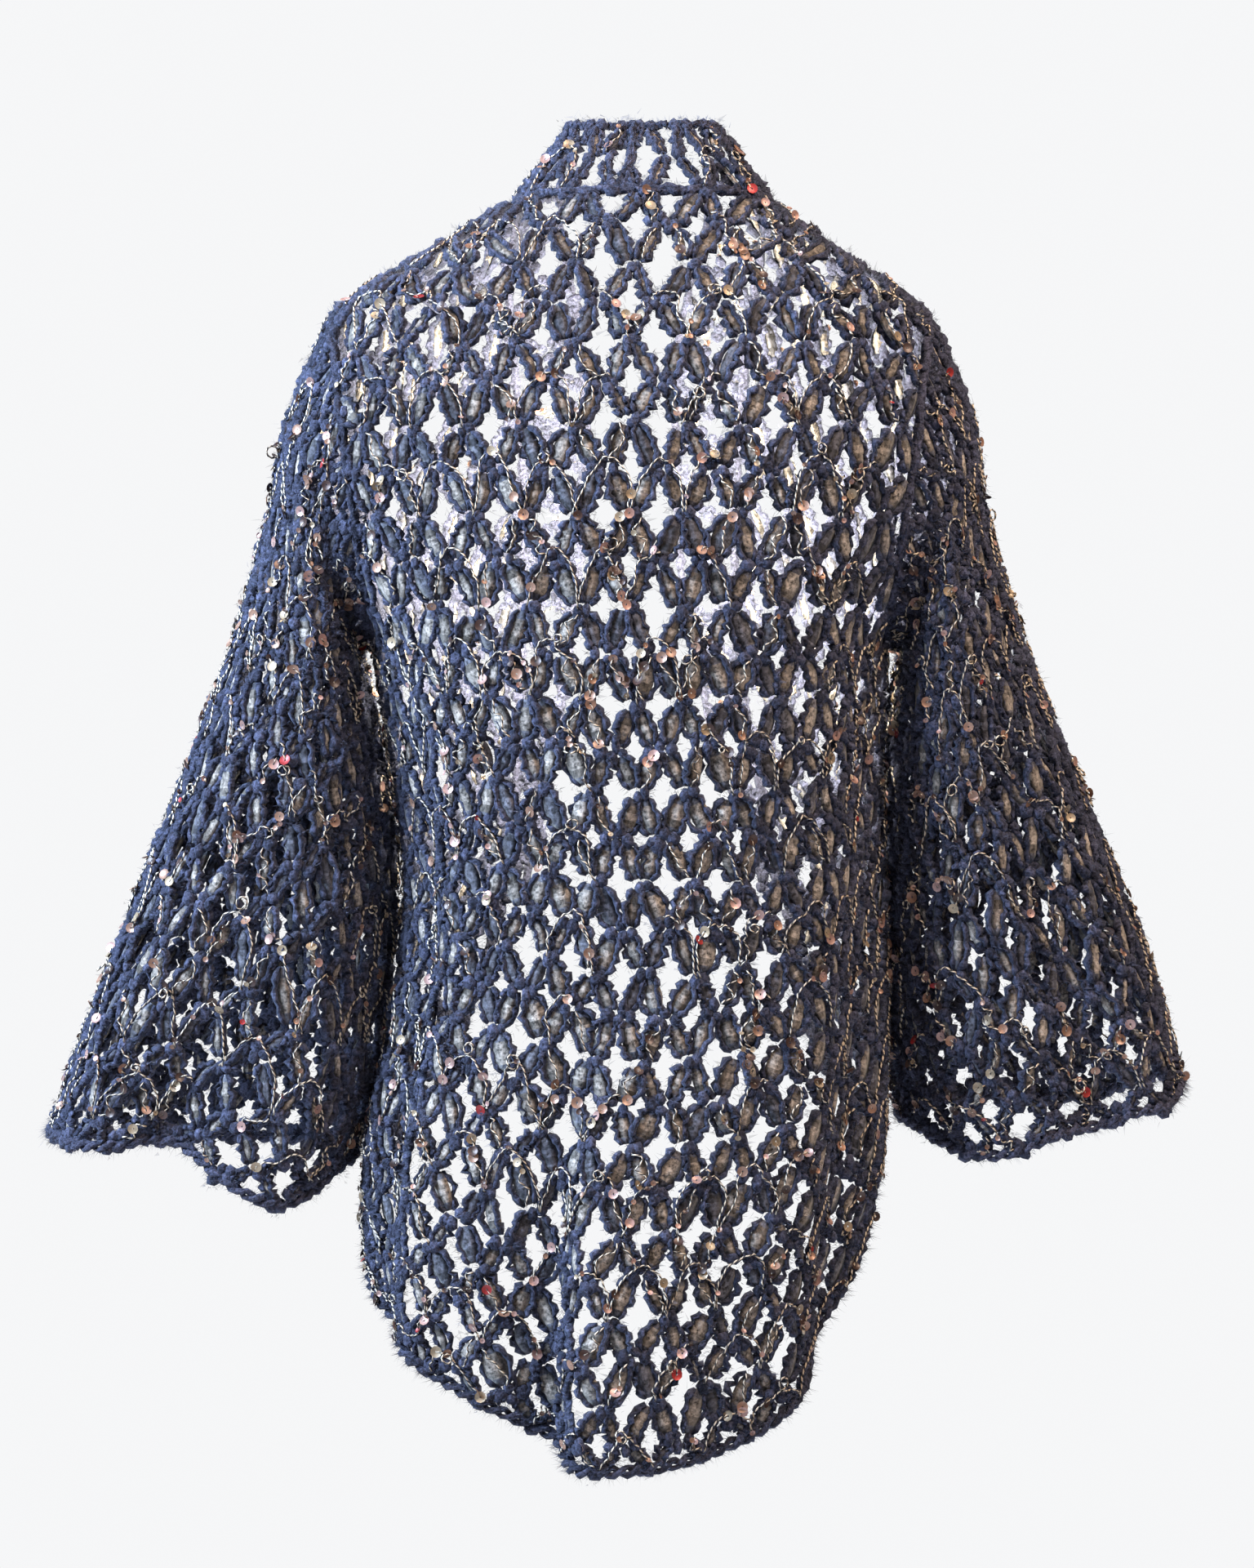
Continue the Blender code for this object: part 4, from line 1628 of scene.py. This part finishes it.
    def build_knots(self, stamp: Stamp) -> bpy.types.Object:
        """Make lumps of yarn where loops meet, more of them and wider spread at the heavy knots.

        Args:
            stamp: One lump of half-size 1.

        Returns:
            The piece.
        """
        batch = MeshBatch()
        chance = self.chance
        u, v = self.plan.knots.T
        points, outward = self.cloth.places(u, v)
        below, _ = self.cloth.places(u, v + KNOT.place_below)
        down = unit(below - points + LEAST_SPAN)
        beside = unit(np.cross(outward, down))
        down = np.cross(beside, outward)
        grown = np.sqrt(self.grown(v))[:, None]
        for lump in range(self.heavy_lumps):
            own = self.plan.heavy | (lump < KNOT.light_lumps)
            heavy = self.plan.heavy[own][:, None]
            count = len(heavy)
            stray = chance.uniform(-KNOT.turn_spread, KNOT.turn_spread, (count, 1))
            turn = 2 * pi * (lump + stray) / self.heavy_lumps
            reach = np.where(heavy, KNOT.heavy_reach, KNOT.light_reach) * grown[own]
            shift = beside[own] * np.cos(turn) * reach[:, :1] + down[own] * np.sin(turn) * reach[:, 1:]
            size = np.array(KNOT.half_sizes) * varied(chance, KNOT.size_spread, (count, 3)) * grown[own]
            axes = np.stack((beside[own], down[own], outward[own]), axis=1) * size[..., None]
            axes *= np.where(np.linalg.det(axes) < 0, -1.0, 1.0)[:, None, None]
            middles = points[own] + shift
            batch.add_copies(stamp, middles, axes, NAVY.pick(chance, count))
            for _ in range(KNOT.fuzz_spots):
                place = chance.uniform(-KNOT.fuzz_reach, KNOT.fuzz_reach, (count, 3, 1))
                self.spots.append(middles + (axes * place).sum(axis=1))
                self.away.append(outward[own] + unit(shift))
        return batch.to_object(f"{self.node}_knots", [YARN.material()])

    def border_route(self, border: Border) -> tuple[np.ndarray, np.ndarray]:
        """Route along one edge of the cloth.

        Args:
            border: The edge.

        Returns:
            Points of the route, and outward directions there.
        """
        upright = border in (Border.START, Border.END)
        far = 1.0 if border in (Border.BOTTOM, Border.END) else 0.0
        length = self.cloth.down_length(far) if upright else self.cloth.across_length(far)
        share = np.linspace(0, SEAM.last_place, int(length / SEAM.step))
        fixed = np.full_like(share, far)
        return self.cloth.places(fixed, share) if upright else self.cloth.places(share, fixed)

    def build_seams(self) -> bpy.types.Object:
        """Make the lumpy strands that join the loops along the seams.

        Returns:
            The piece.
        """
        batch = MeshBatch()
        chance = self.chance
        for border in self.borders:
            points, outward = self.border_route(border)
            for _ in range(SEAM.strands):
                centres = points + chance.normal(0.0, SEAM.sway_spread, points.shape)
                radii = SEAM.radius * varied(chance, SEAM.radius_spread, len(points))
                tone = EDGE_NAVY.pick(chance, 1)
                batch.add_tubes(centres[None], outward[None], radii[None], LOOP.sides, tone)
                self.spots.append(centres)
                self.away.append(outward)
        return batch.to_object(f"{self.node}_seams", [EDGE_YARN.material()])

    def build_thread(self) -> tuple[bpy.types.Object, np.ndarray, np.ndarray]:
        """The twisted thread that arches over heavy knots and strays along other loops, with its curls.

        Returns:
            The piece, and points and outward directions along the thread for the sequins.
        """
        batch = MeshBatch()
        chance = self.chance
        chosen = self.plan.arches[chance.random(len(self.plan.arches)) < self.arch_share]
        kind = chance.random((len(chosen), 1))
        first = np.where(kind < TWIST.half_share, -TWIST.half_overlap, -1.0)
        last = np.where(kind > 1 - TWIST.half_share, TWIST.half_overlap, 1.0)
        place = first + (last - first) * np.linspace(0, 1, TWIST.arch_steps)
        across = eased(THREAD_ARCH, "across", np.abs(place))
        down = eased(THREAD_ARCH, "down", np.abs(place))
        middle = chosen[:, 1, None]
        ends = np.where(place[..., None] < 0, chosen[:, 0, None], chosen[:, 2, None])
        route = middle + (ends - middle) * np.stack((across, down), axis=-1)
        arches = self.add_thread(batch, *self.cloth.places(route[..., 0], route[..., 1]))
        points, outward, _, _ = self.loop_routes(TWIST.stray_steps)
        stray = chance.random(len(points)) < self.stray_share
        strays = self.add_thread(batch, points[stray], outward[stray])
        halfway = route[:, TWIST.arch_steps // 2]
        self.add_curls(batch, *self.cloth.places(halfway[:, 0], halfway[:, 1]))
        piece = batch.to_object(f"{self.node}_thread", [THREAD.material()])
        strung = [np.concatenate([part.reshape(-1, 3) for part in pair]) for pair in zip(arches, strays)]
        return piece, strung[0], strung[1]

    def add_thread(
        self, batch: MeshBatch, points: np.ndarray, outward: np.ndarray
    ) -> tuple[np.ndarray, np.ndarray]:
        """Add lengths of thread that wander a little off their routes.

        Args:
            batch: Batch that takes them.
            points: Routes on the cloth, as threads, steps and XYZ.
            outward: Outward directions there.

        Returns:
            Points along the threads, and outward directions there.
        """
        chance = self.chance
        count, steps, _ = points.shape
        beside = unit(np.cross(outward, unit(np.gradient(points, axis=1))))
        share = np.linspace(0, 1, steps)
        waves = chance.uniform(TWIST.fewest_waves, TWIST.most_waves, count)[:, None]
        phase = chance.uniform(0, 2 * pi, count)[:, None]
        reach = chance.uniform(TWIST.least_swing, TWIST.most_swing, count)[:, None]
        swing = reach * np.sin(2 * pi * waves * share + phase)
        swing = swing + chance.normal(0.0, TWIST.swing_spread, (count, steps))
        rise = TWIST.lift + chance.normal(TWIST.lift_more, TWIST.lift_spread, (count, steps))
        centres = points + beside * swing[..., None] + outward * rise[..., None]
        radii = np.full((count, steps), TWIST.radius)
        batch.add_tubes(centres, outward, radii, TWIST.sides, BEIGE.pick(chance, count))
        return centres, outward

    def add_curls(self, batch: MeshBatch, points: np.ndarray, outward: np.ndarray) -> None:
        """Add small loose rings at the top of some of the thread's arches.

        Args:
            batch: Batch that takes them.
            points: Tops of the arches on the cloth.
            outward: Outward directions there.
        """
        chance = self.chance
        chosen = chance.random(len(points)) < CURL.share
        points, outward = points[chosen], outward[chosen]
        count = len(points)
        facing = unit(outward + chance.normal(0.0, CURL.tilt_spread, outward.shape))
        first = unit(np.cross(facing, chance.normal(0.0, 1.0, outward.shape)))
        second = np.cross(facing, first)
        angle = (2 * pi * np.arange(CURL.steps) / CURL.steps)[:, None]
        size = (CURL.radius * varied(chance, CURL.radius_spread, count, most=CURL.largest))[:, None, None]
        middle = points + outward * CURL.lift + first * size[:, 0] * CURL.overhang
        ring = first[:, None] * np.cos(angle) + second[:, None] * np.sin(angle) * CURL.flatness
        centres = middle[:, None] + ring * size
        radii = np.full(centres.shape[:2], TWIST.radius)
        upright = np.broadcast_to(facing[:, None], centres.shape)
        batch.add_tubes(centres, upright, radii, TWIST.sides, BEIGE.pick(chance, count), closed=True)

    def build_sequins(self, stamp: Stamp, points: np.ndarray, outward: np.ndarray) -> bpy.types.Object:
        """Cupped sequins strung along the thread.

        Args:
            stamp: One sequin of radius 1.
            points: Points along the thread.
            outward: Outward directions there.

        Returns:
            The piece.
        """
        batch = MeshBatch()
        chance = self.chance
        wanted = int(len(self.plan.start) * SEQUIN.per_loop)
        chosen = chance.choice(len(points), min(wanted, len(points)), replace=False)
        count = len(chosen)
        facing = unit(outward[chosen] + chance.normal(0.0, SEQUIN.tilt_spread, (count, 3)))
        first = unit(np.cross(facing, chance.normal(0.0, 1.0, facing.shape)))
        second = np.cross(facing, first)
        large = chance.random(count) < SEQUIN.large_share
        radius = np.where(large, SEQUIN.large_radius, SEQUIN.small_radius)
        size = radius * chance.normal(1.0, SEQUIN.size_spread, count)
        axes = np.stack((first, second, facing), axis=1) * size[:, None, None]
        place = points[chosen] + outward[chosen] * SEQUIN.lift
        palette = np.array([colour.value[0] for colour in SequinColour])
        shares = np.array([colour.value[1] for colour in SequinColour])
        tone = palette[chance.choice(len(palette), count, p=shares / shares.sum())]
        tone = tone * chance.uniform(SEQUIN.dimmest, SEQUIN.brightest, (count, 1))
        batch.add_copies(stamp, place, axes, tone)
        return batch.to_object(f"{self.node}_sequins", [FILM.material()])

    def build_fuzz(self) -> bpy.types.Object:
        """Make the mohair: short hairs all round the yarn, and a haze of longer wisps into the openings.

        Returns:
            The piece.
        """
        batch = MeshBatch()
        chance = self.chance
        spots = np.concatenate(self.spots)
        away = np.concatenate(self.away)
        for slot, hair in enumerate(HAIRS):
            count = hair.per_loop * len(self.plan.start)
            chosen = chance.integers(0, len(spots), count)
            heading = unit(away[chosen] * hair.lean + chance.normal(0.0, hair.spread, (count, 3)))
            roots = spots[chosen] + heading * self.loop_radius * hair.start_share
            roots = roots + chance.normal(0.0, hair.start_spread, (count, 3))
            tips = roots + heading * chance.uniform(hair.shortest, hair.longest, count)[:, None]
            batch.add_hairs(roots, tips, hair.width, HAZE.pick(chance, count), slot)
        return batch.to_object(f"{self.node}_fuzz", [FUZZ.material(), WISPS.material()])

    def build(self, knot: Stamp, sequin: Stamp) -> None:
        """Make every piece of the panel and attach them to the body.

        Args:
            knot: Shape of a knot's lumps.
            sequin: Shape of the sequins.
        """
        mesh, filling = self.build_loops()
        knots = self.build_knots(knot)
        seams = self.build_seams()
        thread, points, outward = self.build_thread()
        sequins = self.build_sequins(sequin, points, outward)
        fuzz = self.build_fuzz()
        for piece in (mesh, filling, knots, seams, thread, sequins, fuzz):
            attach(piece, BODY)
            LOG.info("%s: %d faces", piece.name, len(piece.data.polygons))
        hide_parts(self.node)
        self.cloth.flat()
        self.cloth.area()


@dataclass
class Edging:
    """Crocheted edge of two lumpy plies that wind round each other along a free edge."""

    node: str
    route: np.ndarray
    outward: np.ndarray
    seed: int
    ply_radius: float = 0.0021
    ply_offset: float = 0.0023
    turn_length: float = 0.019
    sides: int = 5
    radius_spread: float = 0.14
    thinnest: float = 0.65
    thickest: float = 1.4
    hairs: int = 18
    hair_width: float = 0.00050
    hair_spread: float = 0.9
    shortest_hair: float = 0.003
    longest_hair: float = 0.008
    hair_start: float = 0.6

    def build(self) -> None:
        """Make the edge with its fuzz and attach it to the body."""
        chance = np.random.default_rng(self.seed)
        along = unit(np.gradient(self.route, axis=0))
        beside = unit(np.cross(along, self.outward))
        run = np.concatenate(([0.0], np.linalg.norm(np.diff(self.route, axis=0), axis=1).cumsum()))
        angle = 2 * pi * np.round(run[-1] / self.turn_length) * run / run[-1]
        batch = MeshBatch()
        for phase in (0.0, pi):
            turn = np.cos(angle + phase)[:, None] * beside + np.sin(angle + phase)[:, None] * self.outward
            centres = self.route + turn * self.ply_offset
            lumps = varied(chance, self.radius_spread, len(run), self.thinnest, self.thickest)
            radii = self.ply_radius * lumps
            tone = EDGE_NAVY.pick(chance, 1)
            batch.add_tubes(centres[None], self.outward[None], radii[None], self.sides, tone)
            count = self.hairs * len(run)
            chosen = chance.integers(0, len(run), count)
            heading = unit(turn[chosen] + chance.normal(0.0, self.hair_spread, (count, 3)))
            length = chance.uniform(self.shortest_hair, self.longest_hair, count)[:, None]
            roots = centres[chosen] + heading * self.ply_radius * self.hair_start
            tips = roots + heading * length
            batch.add_hairs(roots, tips, self.hair_width, HAZE.pick(chance, count), slot=1)
        piece = batch.to_object(f"{self.node}_yarn", [EDGE_YARN.material(), FUZZ.material()])
        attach(piece, BODY)
        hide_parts(self.node)
        LOG.info("%s: %d faces", piece.name, len(piece.data.polygons))


EDGE_DISTANCE = 0.0016
EDGE_STEP = 0.0032
EDGE_INSET = 0.03
ROUND_END = 0.99999
CORNER_PLACE = 0.985
COLLAR_END_ROOM = 0.006


def beyond_edge(
    cloth: Cloth, u: np.ndarray, v: np.ndarray, inner_u: np.ndarray, inner_v: np.ndarray
) -> tuple[np.ndarray, np.ndarray]:
    """Route of an edging just past an edge of a cloth.

    Args:
        cloth: The cloth.
        u: Places across of the edge.
        v: Places down of the edge.
        inner_u: Places across of points inside the edge.
        inner_v: Places down of points inside the edge.

    Returns:
        Points of the route, and the cloth's outward directions there.
    """
    edge, outward = cloth.places(u, v)
    inner, _ = cloth.places(inner_u, inner_v)
    return edge + unit(edge - inner) * EDGE_DISTANCE, outward


def hem_route(cloth: Cloth) -> tuple[np.ndarray, np.ndarray]:
    """Route along the bottom edge of a cloth.

    Args:
        cloth: The cloth.

    Returns:
        Points of the route, and the cloth's outward directions there.
    """
    share = np.linspace(0.0, ROUND_END if cloth.wraps else 1.0, int(cloth.across_length(1.0) / EDGE_STEP))
    below = np.ones_like(share)
    return beyond_edge(cloth, share, below, share, below - EDGE_INSET)


def front_route(cloth: Cloth) -> tuple[np.ndarray, np.ndarray]:
    """Route along a front's hem and up its front edge to the collar's end.

    Args:
        cloth: The front's cloth.

    Returns:
        Points of the route, and the cloth's outward directions there.
    """
    hem, hem_out = hem_route(cloth)
    drops = -cloth.points[:, -1, 2]
    end = float(np.interp(COLLAR_END_DROP + COLLAR_END_ROOM, drops, np.linspace(0, 1, len(drops))))
    share = np.linspace(CORNER_PLACE, end, int(cloth.down_length(1.0) * (1 - end) / EDGE_STEP))
    side = np.ones_like(share)
    edge, edge_out = beyond_edge(cloth, side, share, side - EDGE_INSET, share)
    return np.concatenate((hem, edge)), np.concatenate((hem_out, edge_out))


class LightRow(NamedTuple):
    """A square light of the setting, and the point that it is turned to."""

    name: str
    place: Place
    power: float
    size: float
    colour: Colour
    target: Place


CARDIGAN_MIDDLE = (0.0, 0.0, -0.35)
LIGHTS = (
    LightRow("key", (1.35, 0.70, 0.40), 140.0, 0.8, (0.58, 0.77, 1.0), CARDIGAN_MIDDLE),
    LightRow("fill", (-0.75, 0.80, 1.05), 52.0, 0.8, (1.0, 0.80, 0.62), CARDIGAN_MIDDLE),
    LightRow("front", (0.3, -2.4, 0.8), 75.0, 1.8, (1.0, 0.99, 0.97), CARDIGAN_MIDDLE),
    LightRow("inside", (0.0, 0.045, -0.20), 11.0, 0.20, (1.0, 0.93, 0.74), (0.0, -0.5, -0.20)),
)


@dataclass(frozen=True)
class Studio:
    """Plain pale setting: floor, soft light and the camera behind the cardigan."""

    camera_place: Place = (0.002, 2.2, -0.355)
    lens: float = 82.5
    sensor_width: float = 36.0
    floor_z: float = -1.6
    floor_size: float = 6.0
    floor_colour: Colour = (0.82, 0.82, 0.82)
    floor_roughness: float = 0.9
    wall_colour: Colour = (0.92, 0.925, 0.935)
    surround_base: float = -0.6
    surround_low: float = 0.06
    surround_high: float = 0.36
    left_tint: Colour = (0.66, 0.80, 1.0)
    right_tint: Colour = (0.70, 0.52, 0.38)

    def build(self) -> None:
        """Make the setting."""
        self.add_camera()
        self.add_surround()
        self.add_floor()
        for row in LIGHTS:
            self.add_light(row)

    def add_camera(self) -> None:
        """Level camera that looks along -Y."""
        data = bpy.data.cameras.new("photo_view")
        data.lens = self.lens
        data.sensor_width = self.sensor_width
        data.sensor_fit = "AUTO"
        data.dof.use_dof = False
        camera = bpy.data.objects.new("photo_view", data)
        camera.location = self.camera_place
        camera.rotation_euler = (radians(90), 0.0, radians(180))
        bpy.context.scene.collection.objects.link(camera)
        bpy.context.scene.camera = camera

    def add_surround(self) -> None:
        """Pale even surround, which lights cool from the left, warm from the right and dim from below."""
        scene = bpy.context.scene
        scene.view_settings.view_transform = "Standard"
        world = bpy.data.worlds.new("pale_surround")
        world.use_nodes = True
        nodes = world.node_tree.nodes
        link = world.node_tree.links.new
        shown = nodes["Background"]
        shown.inputs["Color"].default_value = (*self.wall_colour, 1.0)
        lit = nodes.new("ShaderNodeBackground")
        way = nodes.new("ShaderNodeTexCoord")
        parts = nodes.new("ShaderNodeSeparateXYZ")
        link(way.outputs["Generated"], parts.inputs["Vector"])
        across = nodes.new("ShaderNodeMapRange")
        across.inputs["From Min"].default_value = -1.0
        link(parts.outputs["X"], across.inputs["Value"])
        tint = nodes.new("ShaderNodeMix")
        tint.data_type = "RGBA"
        tint.inputs["A"].default_value = (*self.right_tint, 1.0)
        tint.inputs["B"].default_value = (*self.left_tint, 1.0)
        link(across.outputs["Result"], tint.inputs["Factor"])
        link(tint.outputs["Result"], lit.inputs["Color"])
        height = nodes.new("ShaderNodeMapRange")
        height.inputs["From Min"].default_value = self.surround_base
        height.inputs["To Min"].default_value = self.surround_low
        height.inputs["To Max"].default_value = self.surround_high
        link(parts.outputs["Z"], height.inputs["Value"])
        link(height.outputs["Result"], lit.inputs["Strength"])
        path = nodes.new("ShaderNodeLightPath")
        blend = nodes.new("ShaderNodeMixShader")
        link(path.outputs["Is Camera Ray"], blend.inputs["Fac"])
        link(lit.outputs["Background"], blend.inputs[1])
        link(shown.outputs["Background"], blend.inputs[2])
        link(blend.outputs["Shader"], nodes["World Output"].inputs["Surface"])
        scene.world = world

    def add_floor(self) -> None:
        """Plain floor well below the hem."""
        bpy.ops.object.select_all(action="DESELECT")
        bpy.ops.mesh.primitive_plane_add(size=self.floor_size, location=(0, 0, self.floor_z))
        floor = bpy.context.active_object
        floor.name = "studio_floor"
        material = bpy.data.materials.new("pale_floor")
        material.use_nodes = True
        shader = material.node_tree.nodes["Principled BSDF"]
        shader.inputs["Base Color"].default_value = (*self.floor_colour, 1.0)
        shader.inputs["Roughness"].default_value = self.floor_roughness
        floor.data.materials.append(material)

    def add_light(self, row: LightRow) -> None:
        """Add a square light that lights the cardigan and doesn't show itself.

        Args:
            row: The light.
        """
        data = bpy.data.lights.new(row.name, "AREA")
        data.energy = row.power
        data.size = row.size
        data.color = row.colour
        light = bpy.data.objects.new(row.name, data)
        light.location = row.place
        light.visible_camera = False
        aim = np.array(row.target) - np.array(row.place)
        turn = np.arctan2(aim[1], aim[0])
        fall = np.arctan2(np.hypot(aim[0], aim[1]), -aim[2])
        light.rotation_euler = (fall, 0.0, turn - pi / 2)
        bpy.context.scene.collection.objects.link(light)


def panels(body: BodyForm) -> list[MeshPanel]:
    """Cut every piece of mesh.

    Args:
        body: Hanging form of the body.

    Returns:
        The pieces, in the order they are made.
    """
    around = (Border.TOP, Border.START, Border.END)
    collars = ("collar_left_mesh", "collar_right_mesh")
    back = MeshPanel(
        "back",
        body.back(),
        BACK_MESH,
        around,
        11,
        collars,
        loop_radius=0.0022,
        loop_half_width=0.0053,
        top_share=0.7,
    )
    made = [back]
    for side, name, seed in ((Side.LEFT, "left", 20), (Side.RIGHT, "right", 30)):
        made.append(
            MeshPanel(
                f"front_{name}",
                body.front(side),
                FRONT_MESH,
                around,
                seed + 1,
                ("back_mesh",),
                anchor=0.96,
            )
        )
        made.append(
            MeshPanel(
                f"sleeve_{name}",
                SleeveForm(side).cloth(),
                SLEEVE_MESH,
                (Border.TOP,),
                seed + 2,
                ("back_mesh", f"front_{name}_mesh"),
                anchor=0.25,
                columns=18,
                loop_radius=0.0024,
                loop_half_width=0.0038,
            )
        )
        made.append(
            MeshPanel(
                f"collar_{name}",
                body.collar(side),
                COLLAR_MESH,
                (Border.TOP, Border.BOTTOM, Border.START, Border.END),
                seed + 3,
                ("back_mesh",),
                anchor=0.02,
                closing=0.0,
                loop_radius=0.0027,
                loop_half_width=0.0024,
                arch_share=0.4,
                stray_share=0.12,
                heavy_lumps=2,
            )
        )
    return made


def edgings(cloths: dict[str, Cloth]) -> list[Edging]:
    """Lay out every crocheted edge.

    Args:
        cloths: Cloth of each cut piece, by its node.

    Returns:
        The edges.
    """
    made = [Edging("hem_edging", *hem_route(cloths["back"]), seed=41)]
    for name, seed in (("left", 50), ("right", 60)):
        made.append(Edging(f"front_edging_{name}", *front_route(cloths[f"front_{name}"]), seed + 1))
        made.append(Edging(f"cuff_edging_{name}", *hem_route(cloths[f"sleeve_{name}"]), seed + 2))
    return made


def main() -> None:
    """Build the setting and the cardigan."""
    logging.basicConfig(level=logging.INFO, format="%(name)s %(message)s")
    Studio().build()
    knot = Stamp.knot()
    sequin = Stamp.sequin()
    cut = panels(BodyForm())
    for panel in cut:
        panel.build(knot, sequin)
    for edge in edgings({panel.node: panel.cloth for panel in cut}):
        edge.build()


if __name__ == "__main__":
    main()
